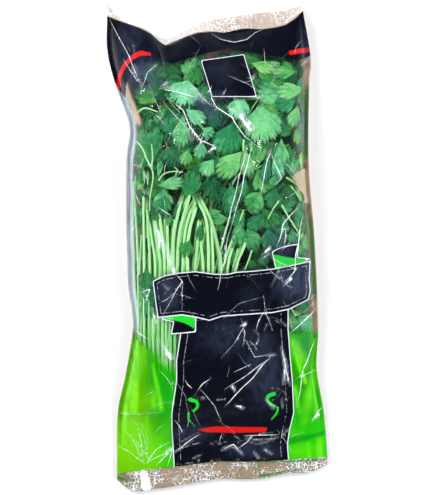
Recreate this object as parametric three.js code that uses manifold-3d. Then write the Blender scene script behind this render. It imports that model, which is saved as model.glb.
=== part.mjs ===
import * as THREE from "three";
import { mergeVertices } from "three/addons/utils/BufferGeometryUtils.js";
import Module from "manifold-3d";

// A bunch of coriander lying in a flat film bag. The bag is two films, a clear one in front and an opaque one
// behind, welded to each other all round. The stems start at the lower left and fan out to leaves at the top and
// on the right. The leafy stems lie in layers, each layer at its own share of the height between the two films.
//
// Millimetres, +Z up. +X is to the right and +Y from the cut stems to the leaf tips, seen from the clear side.
// z = 0 is the surface that the bag lies on.

// ---------------------------------------------------------------- bag: driving dimensions

const FILM = 0.6; // thickness of each film
const WELD_GAP = 0.3; // between the two films where they meet
const SIDE_WELD = 0.955; // share of the half width at which the side weld starts
const REST_SHARE = 0.45; // share of the half width over which the back lies flat
const SEAM_LIFT = 0.3; // height of the side seam, as a share of the fill
const STRIP_WIDTH = 12.5; // true width of the crimped strip at the top

// Places across run from 0 at the left edge to 1 at the right. Places along run from 0 at the bottom weld line to 1
// at the top one, -1 and 2 being the cut edges of the crimped strips.
const LEFT_EDGE = [
  [0, -75.8], [0.137, -75], [0.219, -69], [0.327, -63.8], [0.425, -67.5],
  [0.684, -68.3], [0.76, -66], [0.85, -76.5], [0.923, -82.6], [1, -82.7],
];
const RIGHT_EDGE = [
  [0, 82.9], [0.098, 80.3], [0.2, 74.6], [0.289, 75.8], [0.489, 72.8],
  [0.668, 68.3], [0.847, 69], [0.89, 70.3], [1, 64.1],
];
const BOTTOM_LINE = [[0, -170.3], [0.16, -167], [0.3, -164.5], [0.48, -161.3], [0.65, -161.3], [1, -157.9]];
const BOTTOM_STRIP = [[0, 5], [0.08, 15], [0.2, 15.5], [0.45, 13.5], [0.7, 13], [0.8, 10.5], [0.92, 10.5], [1, 6]];
const TOP_LINE = [
  [0, 173.6], [0.1, 167.8], [0.2, 162.8], [0.3, 151.6], [0.42, 159.4],
  [0.5, 162], [0.6, 161.5], [0.83, 165], [0.91, 167.5], [1, 177.4],
];
const TOP_STRIP = [[0, 9.7], [0.1, 1.6], [0.22, 1.4], [0.3, 5], [0.42, 5.5], [0.6, 11.5], [0.9, 11.5], [1, 6.5]];

// Height of the weld lines above the surface, across the bag.
const BOTTOM_HEIGHT = [[0, 3.2], [0.1, 2.2], [0.3, 3.4], [0.5, 2.2], [0.7, 3], [1, 2.4]];
const TOP_HEIGHT = [[0, 12], [0.1, 15], [0.2, 15.5], [0.3, 13.5], [0.45, 13], [0.6, 8], [0.8, 8], [1, 12]];
const END_REACH = { bottom: 0.12, top: 0.16 }; // share of the length over which the back rises to each weld

// Height between the films along the middle, how boxy the section is, and how far it slopes off to the right.
const FILL = [
  [0, 0], [0.05, 3], [0.1, 11], [0.15, 19], [0.3, 24], [0.43, 30],
  [0.57, 38], [0.7, 42], [0.8, 38], [0.88, 27], [0.94, 13], [1, 0],
];
const FULLEST = Math.max(...FILL.map(([, height]) => height));
const BOXINESS = [[0, 4], [0.15, 6], [0.35, 6], [0.55, 3], [0.8, 2.8], [1, 3]];
const RIGHT_SLOPE = [[0, 0.4], [0.15, 0.45], [0.35, 0.3], [0.55, 0.05], [0.7, 0], [1, 0]];

const COLUMNS_ACROSS = [0, 0.41, 0.63, 0.78, 0.88, SIDE_WELD, 1]; // share of the half width, each side
const ROWS_ALONG = [
  -1, 0, 0.03, 0.06, 0.1, 0.15, 0.22, 0.28, 0.33, 0.38, 0.44, 0.5,
  0.57, 0.63, 0.7, 0.75, 0.8, 0.84, 0.88, 0.91, 0.94, 0.97, 1, 2,
];

// ---------------------------------------------------------------- bunch: driving dimensions

const LAYERS = 8;
const STEM_MARGIN = 2.2; // from the films to the axis of the nearest stem
const CUT_END = -122; // where the stems are cut
const BUNDLE = [-104, -74, -40]; // places along where every stem still keeps its lane
const BUNDLE_LEFT = [[-122, -64], [-104, -61], [-74, -55], [-40, -56], [0, -56]];
const BUNDLE_WIDTH = [[-122, 45], [-104, 45], [-74, 48], [-40, 58], [0, 62]];
const LANES = 5;
const SUBLANES = 3; // neighbouring layers shift by a third of a lane
const STEM = { radius: 1.2, sides: 5, steps: 8 };
const RIB = { radius: 0.6, sides: 4, steps: 2 }; // the thin end of the stem, which carries the leaflets
const BLADE = 0.7; // thickness of a leaflet

// A leaf spreads over a disc. Each row is one stem's disc centre, the way the leaf points, in degrees from +Y
// towards +X, and the place that its stem passes on the way there.
const LAYER_PLANS = [
  [
    { x: -34, y: 108, turn: -30, via: [-50, 52] },
    { x: 16, y: 127, turn: 24, via: [-5, 70] },
    { x: 36, y: 84, turn: 55, via: [3, 42] },
    { x: 37, y: 33, turn: 80, via: [-4, 8] },
    { x: 39, y: -30, turn: 70, via: [-2, -48] },
  ],
  [
    { x: -37, y: 78, turn: -24, via: [-51, 30] },
    { x: -19, y: 123, turn: 6, via: [-8, 72] },
    { x: 33, y: 117, turn: 32, via: [7, 66] },
    { x: 37, y: 62, turn: 66, via: [2, 24] },
    { x: 40, y: -56, turn: 84, via: [-2, -66] },
  ],
  [
    { x: -43, y: 117, turn: -16, via: [-49, 60] },
    { x: -3, y: 90, turn: -12, via: [-18, 42] },
    { x: 37, y: 113, turn: 16, via: [18, 60] },
    { x: 39, y: 38, turn: 62, via: [1, 4] },
    { x: 39, y: -6, turn: 70, via: [6, -30] },
  ],
];
const LEAF_RADIUS = 24;
const SIZE_SPREAD = 0.06;
const TURN_SPREAD = 12;
const PLACE_SPREAD = 2;
const ARCH = 2.4; // how far a leaflet bends out of its layer where the bag is fullest

// The rib's length, and the leaflets: where they leave the rib, their length, their half width and their turn. All
// lengths are in leaf radii.
const RIB_LENGTH = 0.9;
const LEAFLETS = [
  { at: 0.8, length: 0.98, half: 0.56, turn: 0 },
  { at: 0.38, length: 0.92, half: 0.5, turn: -76 },
  { at: 0.38, length: 0.92, half: 0.5, turn: 76 },
];

// Right half of a leaflet's edge, from its stalk to its tip: half width and length as shares of the whole.
const LEAFLET_EDGE = [[0.1, 0], [0.55, 0.27], [1, 0.44], [0.94, 0.68], [0.58, 0.62], [0.6, 0.9], [0.22, 1]];

const COLOURS = {
  clear: { color: 0xeaf4f2, roughness: 0.12, metalness: 0, transparent: true, opacity: 0.28 },
  kraft: { color: 0xb79a78, roughness: 0.45, metalness: 0 },
  leaf: { color: 0x3f8f35, roughness: 0.55, metalness: 0 },
  young: { color: 0x64ad44, roughness: 0.55, metalness: 0 },
};

// ---------------------------------------------------------------- small tools

const clamp = (value, low, high) => Math.min(Math.max(value, low), high);
const smooth = (t) => t * t * (3 - 2 * t);
const radians = THREE.MathUtils.degToRad;

// A number from 0 to 1 for each seed, always the same one.
function draw(seed) {
  const wave = Math.sin(seed * 12.9898 + 78.233) * 43758.5453;
  return wave - Math.floor(wave);
}

// The smooth curve through [place, value] stations: a cubic between each two, with the slope of their neighbours.
function through(stations) {
  const slopes = stations.map((_, i) => {
    const before = stations[Math.max(i - 1, 0)];
    const after = stations[Math.min(i + 1, stations.length - 1)];
    return (after[1] - before[1]) / (after[0] - before[0]);
  });
  return (place) => {
    let i = 0;
    while (i < stations.length - 2 && place > stations[i + 1][0]) i += 1;
    const step = stations[i + 1][0] - stations[i][0];
    const t = clamp((place - stations[i][0]) / step, 0, 1);
    const [from, to] = [stations[i][1], stations[i + 1][1]];
    const bend = t * (1 - t) * step * (slopes[i] * (1 - t) - slopes[i + 1] * t);
    return from + (to - from) * smooth(t) + bend;
  };
}

// A closed solid between two grids of points, the lower and the upper, each [row][column].
function solidBetween(lower, upper) {
  const rows = lower.length;
  const columns = lower[0].length;
  const points = [...lower.flat(), ...upper.flat()].flatMap((p) => [p.x, p.y, p.z]);
  const low = (row, column) => row * columns + column;
  const high = (row, column) => rows * columns + low(row, column);
  const faces = [];
  const quad = (a, b, c, d) => faces.push(a, b, c, a, c, d);
  for (let r = 0; r < rows - 1; r += 1) {
    for (let c = 0; c < columns - 1; c += 1) {
      quad(high(r, c), high(r, c + 1), high(r + 1, c + 1), high(r + 1, c));
      faces.push(low(r, c), low(r + 1, c + 1), low(r, c + 1));
      faces.push(low(r, c), low(r + 1, c), low(r + 1, c + 1));
    }
  }
  const [lastRow, lastColumn] = [rows - 1, columns - 1];
  for (let c = 0; c < lastColumn; c += 1) {
    quad(low(0, c), low(0, c + 1), high(0, c + 1), high(0, c));
    quad(low(lastRow, c + 1), low(lastRow, c), high(lastRow, c), high(lastRow, c + 1));
  }
  for (let r = 0; r < lastRow; r += 1) {
    quad(low(r + 1, 0), low(r, 0), high(r, 0), high(r + 1, 0));
    quad(low(r, lastColumn), low(r + 1, lastColumn), high(r + 1, lastColumn), high(r, lastColumn));
  }
  return new THREE.BufferGeometry()
    .setAttribute("position", new THREE.Float32BufferAttribute(points, 3))
    .setIndex(faces);
}

// ---------------------------------------------------------------- bag

const leftEdge = through(LEFT_EDGE);
const rightEdge = through(RIGHT_EDGE);
const bottomLine = through(BOTTOM_LINE);
const bottomStrip = through(BOTTOM_STRIP);
const topLine = through(TOP_LINE);
const topStrip = through(TOP_STRIP);
const bottomHeight = through(BOTTOM_HEIGHT);
const topHeight = through(TOP_HEIGHT);
const fill = through(FILL);
const boxiness = through(BOXINESS);
const rightSlope = through(RIGHT_SLOPE);

// Where a place on the bag, across and along, lies in plan.
function planOf(across, along) {
  const inside = clamp(along, 0, 1);
  const x = leftEdge(inside) + (rightEdge(inside) - leftEdge(inside)) * across;
  const y = bottomLine(across) + (topLine(across) - bottomLine(across)) * inside;
  const below = Math.max(-along, 0) * bottomStrip(across);
  const above = Math.max(along - 1, 0) * topStrip(across);
  return [x, y - below + above];
}

// The place on the bag that lies over a point in plan, found by stepping both ways in turn.
function placeOf(x, y) {
  let across = 0.5;
  let along = 0.5;
  for (let step = 0; step < 12; step += 1) {
    along = clamp((y - bottomLine(across)) / (topLine(across) - bottomLine(across)), 0, 1);
    across = clamp((x - leftEdge(along)) / (rightEdge(along) - leftEdge(along)), 0, 1);
  }
  return [across, along];
}

// Height of the back film's underside. It is flat in the middle, curves up to the side seams, and rises to the
// weld line at each end. The top strip turns down by as much as its width in plan is short of its true width.
function backHeight(across, along) {
  const side = Math.abs(2 * across - 1);
  const seam = SEAM_LIFT * fill(clamp(along, 0, 1));
  const curve = Math.max(side - REST_SHARE, 0) / (1 - REST_SHARE);
  const bottom = smooth(clamp(1 - along / END_REACH.bottom, 0, 1));
  const top = smooth(clamp(1 - (1 - along) / END_REACH.top, 0, 1));
  const middle = seam * curve ** 1.6 * (1 - bottom) * (1 - top);
  const drop = Math.sqrt(Math.max(STRIP_WIDTH ** 2 - topStrip(across) ** 2, 0)) * Math.max(along - 1, 0);
  return middle + bottomHeight(across) * bottom + topHeight(across) * top - drop;
}

// Clear height between the two films: the fill along the middle, times a rounded box across.
function roomHeight(across, along) {
  if (along <= 0 || along >= 1) return 0;
  const side = 2 * across - 1;
  const share = Math.min(Math.abs(side) / SIDE_WELD, 1);
  const slope = 1 - rightSlope(along) * smooth(clamp((side + 0.2) / 1.2, 0, 1));
  return fill(along) * Math.sqrt(1 - share ** boxiness(along)) * slope;
}

const frontHeight = (across, along) => backHeight(across, along) + FILM + WELD_GAP + roomHeight(across, along);

function film(heightOf) {
  const left = COLUMNS_ACROSS.slice(1).reverse().map((share) => (1 - share) / 2);
  const columns = [...left, ...COLUMNS_ACROSS.map((share) => (1 + share) / 2)];
  const gridAt = (lift) =>
    ROWS_ALONG.map((along) =>
      columns.map((across) => {
        const [x, y] = planOf(across, along);
        return new THREE.Vector3(x, y, heightOf(across, along) + lift);
      }),
    );
  return solidBetween(gridAt(0), gridAt(FILM));
}

// ---------------------------------------------------------------- bunch

// Height of a layer over a point in plan, from 0 for the lowest layer to 1 for the highest.
function layerHeight(share, x, y) {
  const [across, along] = placeOf(x, y);
  const low = backHeight(across, along) + FILM + STEM_MARGIN;
  const high = Math.max(frontHeight(across, along) - STEM_MARGIN, low);
  return low + (high - low) * share;
}

// The leafy stem in a layer and a lane: where its stem runs in plan, and its leaf's size and way.
function planSprig(layer, lane) {
  const seed = layer * LANES + lane;
  const spread = (kind, most) => (2 * draw(seed * 7 + kind) - 1) * most;
  const plan = LAYER_PLANS[layer % LAYER_PLANS.length][lane];
  const radius = LEAF_RADIUS * (1 + spread(1, SIZE_SPREAD));
  const turn = radians(plan.turn + spread(2, TURN_SPREAD));
  const way = new THREE.Vector2(Math.sin(turn), Math.cos(turn));
  const centre = new THREE.Vector2(plan.x + spread(3, PLACE_SPREAD), plan.y + spread(4, PLACE_SPREAD));
  const base = centre.clone().addScaledVector(way, -0.75 * radius);
  const column = (lane + (layer % SUBLANES) / SUBLANES + 1 / (2 * SUBLANES)) / LANES;
  const start = [CUT_END, ...BUNDLE].map((y) => {
    const x = through(BUNDLE_LEFT)(y) + through(BUNDLE_WIDTH)(y) * column;
    return new THREE.Vector2(x, y);
  });
  const inLane = start.filter((p) => p.y < Math.min(plan.via[1], base.y) - 12);
  const bend = base.clone().addScaledVector(way, -0.3 * radius);
  const ribEnd = base.clone().addScaledVector(way, RIB_LENGTH * radius);
  return { seed, radius, turn, way, base, ribEnd, path: [...inLane, new THREE.Vector2(...plan.via), bend] };
}

// A tube of an even section through points in space.
function tube(points, { radius, sides, steps }) {
  const corners = Array.from({ length: sides }, (_, n) => {
    const angle = (2 * Math.PI * n) / sides;
    return new THREE.Vector2(Math.cos(angle), Math.sin(angle)).multiplyScalar(radius);
  });
  const extrudePath = new THREE.CatmullRomCurve3(points);
  return new THREE.ExtrudeGeometry(new THREE.Shape(corners), { steps, extrudePath });
}

// The stem runs through the bundle to the foot of the leaf, and its thin end goes on as the leaf's rib.
function stemAndRib(sprig, share) {
  const lift = ({ x, y }) => new THREE.Vector3(x, y, layerHeight(share, x, y));
  const route = new THREE.SplineCurve([...sprig.path, sprig.base]);
  const ribStart = sprig.base.clone().addScaledVector(sprig.way, -1);
  const rib = new THREE.LineCurve(ribStart, sprig.ribEnd);
  return [
    tube(route.getSpacedPoints(STEM.steps).map(lift), STEM),
    tube(rib.getSpacedPoints(RIB.steps).map(lift), RIB),
  ];
}

// One leaflet: a thin plate of its outline, laid along its layer, with its outer part bent out of it.
function leaflet(sprig, share, { at, length, half, turn }) {
  const halfEdge = LEAFLET_EDGE.map(([wide, along]) => new THREE.Vector2(wide * half, along * length));
  const mirrored = halfEdge.map((p) => new THREE.Vector2(-p.x, p.y)).reverse();
  const outline = new THREE.Shape([...halfEdge, ...mirrored]);
  const plate = new THREE.ExtrudeGeometry(outline, { depth: BLADE, bevelEnabled: false });
  const heading = sprig.turn + radians(turn);
  const way = new THREE.Vector2(Math.sin(heading), Math.cos(heading));
  const side = new THREE.Vector2(way.y, -way.x);
  const root = sprig.base.clone().addScaledVector(sprig.way, at * sprig.radius);
  const arch = (draw(sprig.seed * 11 + at * 100 + turn) < 0.5 ? -1 : 1) * ARCH;
  const position = plate.attributes.position;
  for (let n = 0; n < position.count; n += 1) {
    const along = position.getY(n);
    const p = root
      .clone()
      .addScaledVector(side, position.getX(n) * sprig.radius)
      .addScaledVector(way, along * sprig.radius);
    const fullness = roomHeight(...placeOf(p.x, p.y)) / FULLEST;
    const bent = arch * fullness ** 2 * (along - 0.3) ** 2;
    position.setXYZ(n, p.x, p.y, layerHeight(share, p.x, p.y) + bent + position.getZ(n) - BLADE / 2);
  }
  return plate;
}

// ---------------------------------------------------------------- joining

const wasm = await Module();
wasm.setup();

function toSolid(geometry) {
  geometry.deleteAttribute("normal");
  geometry.deleteAttribute("uv");
  const merged = mergeVertices(geometry, 1e-4);
  return new wasm.Manifold(
    new wasm.Mesh({
      numProp: 3,
      vertProperties: new Float32Array(merged.attributes.position.array),
      triVerts: new Uint32Array(merged.index.array),
    }),
  );
}

function fused(geometries) {
  const whole = geometries.map(toSolid).reduce((a, b) => a.add(b));
  const mesh = whole.getMesh();
  return new THREE.BufferGeometry()
    .setAttribute("position", new THREE.Float32BufferAttribute(mesh.vertProperties, mesh.numProp))
    .setIndex(new THREE.BufferAttribute(mesh.triVerts, 1));
}

// ---------------------------------------------------------------- the object

const bag = new THREE.Group();
const bunch = new THREE.Group();

function add(group, name, geometry, look) {
  const mesh = new THREE.Mesh(geometry, new THREE.MeshStandardMaterial(COLOURS[look]));
  mesh.name = name;
  group.add(mesh);
}

add(bag, "back_film", film(backHeight), "kraft");
add(bag, "front_film", film(frontHeight), "clear");

for (let layer = 0; layer < LAYERS; layer += 1) {
  for (let lane = 0; lane < LANES; lane += 1) {
    const sprig = planSprig(layer, lane);
    const share = layer / (LAYERS - 1);
    const blades = LEAFLETS.map((kind) => leaflet(sprig, share, kind));
    const name = `sprig_${layer + 1}${"abcde"[lane]}`;
    add(bunch, name, fused([...stemAndRib(sprig, share), ...blades]), sprig.seed % 3 === 0 ? "young" : "leaf");
  }
}

const coriander = new THREE.Group();
coriander.add(bag, bunch);

export default coriander;
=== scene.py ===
"""Dresses a bunch of coriander in its film bag: the leafy stems, the two films and the stage.

Lengths are in millimetres, with +Y from the cut stems to the leaf tips, and become metres where a mesh is
made. A place on the bag is (across, along): across runs from 0 at the left edge to 1 at the right, and along
from 0 at the bottom weld line to 1 at the top one, with the crimped strips from -1 to 0 and from 1 to 2.
"""

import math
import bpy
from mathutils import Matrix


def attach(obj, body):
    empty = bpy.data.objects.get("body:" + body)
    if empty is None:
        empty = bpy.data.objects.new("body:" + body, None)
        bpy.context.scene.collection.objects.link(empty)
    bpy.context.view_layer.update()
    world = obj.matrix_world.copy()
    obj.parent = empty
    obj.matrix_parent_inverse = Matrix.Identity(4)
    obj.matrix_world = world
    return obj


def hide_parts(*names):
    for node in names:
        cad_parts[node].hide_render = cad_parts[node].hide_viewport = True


bl_info = {
    "name": "Coriander in a film bag",
    "version": (1, 0, 0),
    "blender": (4, 5, 0),
    "location": "3D View > Sidebar > Coriander",
    "description": "Builds the leafy stems, the two films and the stage",
    "category": "Object",
}

from functools import partialmethod

import bpy
import numpy as np
from bpy.props import FloatProperty, FloatVectorProperty, IntProperty, PointerProperty
from mathutils import Vector

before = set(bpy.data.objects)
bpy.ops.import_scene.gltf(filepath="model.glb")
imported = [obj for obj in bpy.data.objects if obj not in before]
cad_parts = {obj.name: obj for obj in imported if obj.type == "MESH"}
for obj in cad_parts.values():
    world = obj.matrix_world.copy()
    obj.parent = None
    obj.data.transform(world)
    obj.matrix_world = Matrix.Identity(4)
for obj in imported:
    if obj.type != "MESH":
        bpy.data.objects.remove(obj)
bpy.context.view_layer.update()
MM = 0.001
BODY = "root"

# ---------------------------------------------------------------- bag: driving dimensions

FILM = 0.6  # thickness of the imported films, whose middles the fine ones follow
WELD_GAP = 0.3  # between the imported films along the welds
SIDE_WELD = 0.955  # share of the half width at which the side weld starts
REST_SHARE = 0.45  # share of the half width that lies on the surface
SEAM_LIFT = 0.3  # height of the side seams as a share of the fill
SEAM_BEND = 1.6  # power of the curve up to the seams
STRIP_WIDTH = 12.5  # of the top strip, which slopes down where it is narrower in plan
BODY_FOOT, BODY_LENGTH = -163, 327  # where the body of the bag starts, and its length
PLACE_STEPS = 12  # enough for place_of to settle
# Stations, (place, value), of the curves that give the bag its form.
LEFT_EDGE = (
    (0, -75.8), (0.137, -75), (0.219, -69), (0.327, -63.8), (0.425, -67.5), (0.684, -68.3), (0.76, -66),
    (0.85, -76.5), (0.923, -82.6), (1, -82.7),
)
RIGHT_EDGE = (
    (0, 82.9), (0.098, 80.3), (0.2, 74.6), (0.289, 75.8), (0.489, 72.8), (0.668, 68.3), (0.847, 69),
    (0.89, 70.3), (1, 64.1),
)
BOTTOM_LINE = ((0, -170.3), (0.16, -167), (0.3, -164.5), (0.48, -161.3), (0.65, -161.3), (1, -157.9))
BOTTOM_STRIP = ((0, 5), (0.08, 15), (0.2, 15.5), (0.45, 13.5), (0.7, 13), (0.8, 10.5), (0.92, 10.5), (1, 6))
TOP_LINE = (
    (0, 173.6), (0.1, 167.8), (0.2, 162.8), (0.3, 151.6), (0.42, 159.4), (0.5, 162), (0.6, 161.5),
    (0.83, 165), (0.91, 167.5), (1, 177.4),
)
TOP_STRIP = ((0, 9.7), (0.1, 1.6), (0.22, 1.4), (0.3, 5), (0.42, 5.5), (0.6, 11.5), (0.9, 11.5), (1, 6.5))
BOTTOM_HEIGHT = ((0, 3.2), (0.1, 2.2), (0.3, 3.4), (0.5, 2.2), (0.7, 3), (1, 2.4))
TOP_HEIGHT = ((0, 12), (0.1, 15), (0.2, 15.5), (0.3, 13.5), (0.45, 13), (0.6, 8), (0.8, 8), (1, 12))
BOTTOM_REACH, TOP_REACH = 0.12, 0.16  # shares of the length over which the back film rises to each weld line
FILL = (
    (0, 0), (0.05, 3), (0.1, 11), (0.15, 19), (0.3, 24), (0.43, 30), (0.57, 38), (0.7, 42), (0.8, 38),
    (0.88, 27), (0.94, 13), (1, 0),
)
FULLEST = max(height for _, height in FILL)
BOXINESS = ((0, 4), (0.15, 6), (0.35, 6), (0.55, 3), (0.8, 2.8), (1, 3))
RIGHT_SLOPE = ((0, 0.4), (0.15, 0.45), (0.35, 0.3), (0.55, 0.05), (0.7, 0), (1, 0))
SLOPE_START = -0.2  # where the slope to the right starts, from -1 at the left edge to 1 at the right

# Grids of the fine films: columns between the side welds and on each, rows along the body and each strip.
FRONT_GRID = {"inner": 122, "weld": 4, "body": 272, "strip": 12}
BACK_GRID = {"inner": 84, "weld": 3, "body": 190, "strip": 10}
EVEN_SHARE = 0.85  # share of the half width whose columns are even, past which they crowd towards the weld

# ---------------------------------------------------------------- bunch: driving dimensions

LAYERS, LANES = 8, 5
SUBLANES = 3  # places within a lane, which the layers take in turn
STEM_MARGIN = 2.2  # from a film to the middle of a stem
CUT_END = -122
BUNDLE = (-104, -74, -40)
BUNDLE_LEFT = ((-122, -64), (-104, -61), (-74, -55), (-40, -56), (0, -56), (70, -48))
BUNDLE_WIDTH = ((-122, 45), (-104, 45), (-74, 48), (-40, 58), (0, 62), (70, 84))
# Where the leaves of a layer lie, from left to right: x, y, turn, and the bend of the stem on its way there.
LAYER_PLANS = (
    (
        (-34, 108, -30, (-50, 52)), (16, 127, 24, (-5, 70)), (36, 84, 55, (3, 42)),
        (37, 33, 80, (-4, 8)), (39, -30, 70, (-2, -48)),
    ),
    (
        (-37, 78, -24, (-51, 30)), (-19, 123, 6, (-8, 72)), (33, 117, 32, (7, 66)),
        (37, 62, 66, (2, 24)), (40, -56, 84, (-2, -66)),
    ),
    (
        (-43, 117, -16, (-49, 60)), (-3, 90, -12, (-18, 42)), (37, 113, 16, (18, 60)),
        (39, 38, 62, (1, 4)), (39, -6, 70, (6, -30)),
    ),
)
LEAF_RADIUS = 24
SIZE_SPREAD, TURN_SPREAD, PLACE_SPREAD = 0.06, 12, 2
ARCH = 2.4  # how far a leaflet bows out of its layer
FOOT_SHARE = 0.75  # from a leaf's middle to its foot, in radii
RUN_UP = 0.3  # straight end of the stem before its leaf, in radii
VIA_GAP = 12  # least distance from the last point in the bundle to the bend
RIB_START, RIB_LENGTH = 0.06, 0.9
RIB_RINGS = 10
LEAFLETS = (
    {"at": 0.8, "length": 0.98, "turn": 0, "opening": 44},
    {"at": 0.38, "length": 0.92, "turn": -76, "opening": 42},
    {"at": 0.38, "length": 0.92, "turn": 76, "opening": 42},
)
STEM_RADII = (1.55, 1.15, 0.6, 0.35)  # at the cut, below the leaf, at its foot and at the rib's end
STEM_RINGS = 44
STEM_SIDES = 10
NECK = 0.14  # share of a stem over which it thins to the rib
PETIOLE_RINGS = 18
LONG_RINGS = 40
INNER_RINGS = 26
COLUMN_LIMITS = (-0.05, 1.2)  # how far out of the bundle an inner stem may wander
THIN_SIDES = 8
FRONT_RADII = (1.15, 0.45)  # least radius of a stem against the film, and its spread
BESIDE_RADIUS = 0.85  # least radius of those that lie beside and behind them
INNER_RADII = (0.9, 0.6)
BLADE = 0.34  # thickness of a leaflet at its foot
LEAF_GRIDS = ((3, 2), (6, 4))  # rings, and samples for each tooth, of a coarse and of a fine leaflet
BAY_DEPTH = (1.6, 2.2)  # least depth between the lobes, and its spread
NOTCH_DEPTH = (1.5, 0.9)  # the same between the teeth
FAN = (0.74, 0.38)  # share of the opening at the foot, and its growth towards the rim
RUFFLE = 0.7
PLEAT = 0.045
SEAM_CLEARANCE = (4.5, 3.4)  # from the left and the right edge
SEAM_GIVE = 5  # stretch before that in which a leaflet's points crowd together
LEAF_TOP = 151
LEAF_STARTS = {"front": 400, "inner": 900}  # first seeds of the single leaflets
# Where the feet of the inner leaflets lie: from the top down, between two sides, the left one moving in.
INNER_FEET = {"top": 142, "run": 215, "left": -58, "right": 62, "moved": 72, "below": 48, "over": 45}
INNER_LENGTH = (17, 10)  # least length, and its spread
INNER_OPENING = 40
INNER_LIMITS = (64, 148)  # a leaflet whose tip would pass these, across and along, turns round
TOP_SHARE = 0.9  # share of the room at which the frontmost packed layer lies
DEEP_LAYERS = 4  # layers at the back, which need fewer faces
SINK = 0.38  # share by which a stem dives under the leaves on its way to its own
SINK_FROM, SINK_OVER = -30, 30  # where it starts to dive, and over what length
RISE_FROM, RISE_OVER = 0.84, 0.12  # the same for its rise to the leaf, as shares of the stem
STEM_DIVE = 16  # how far a front stem goes on under the leaves

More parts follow.
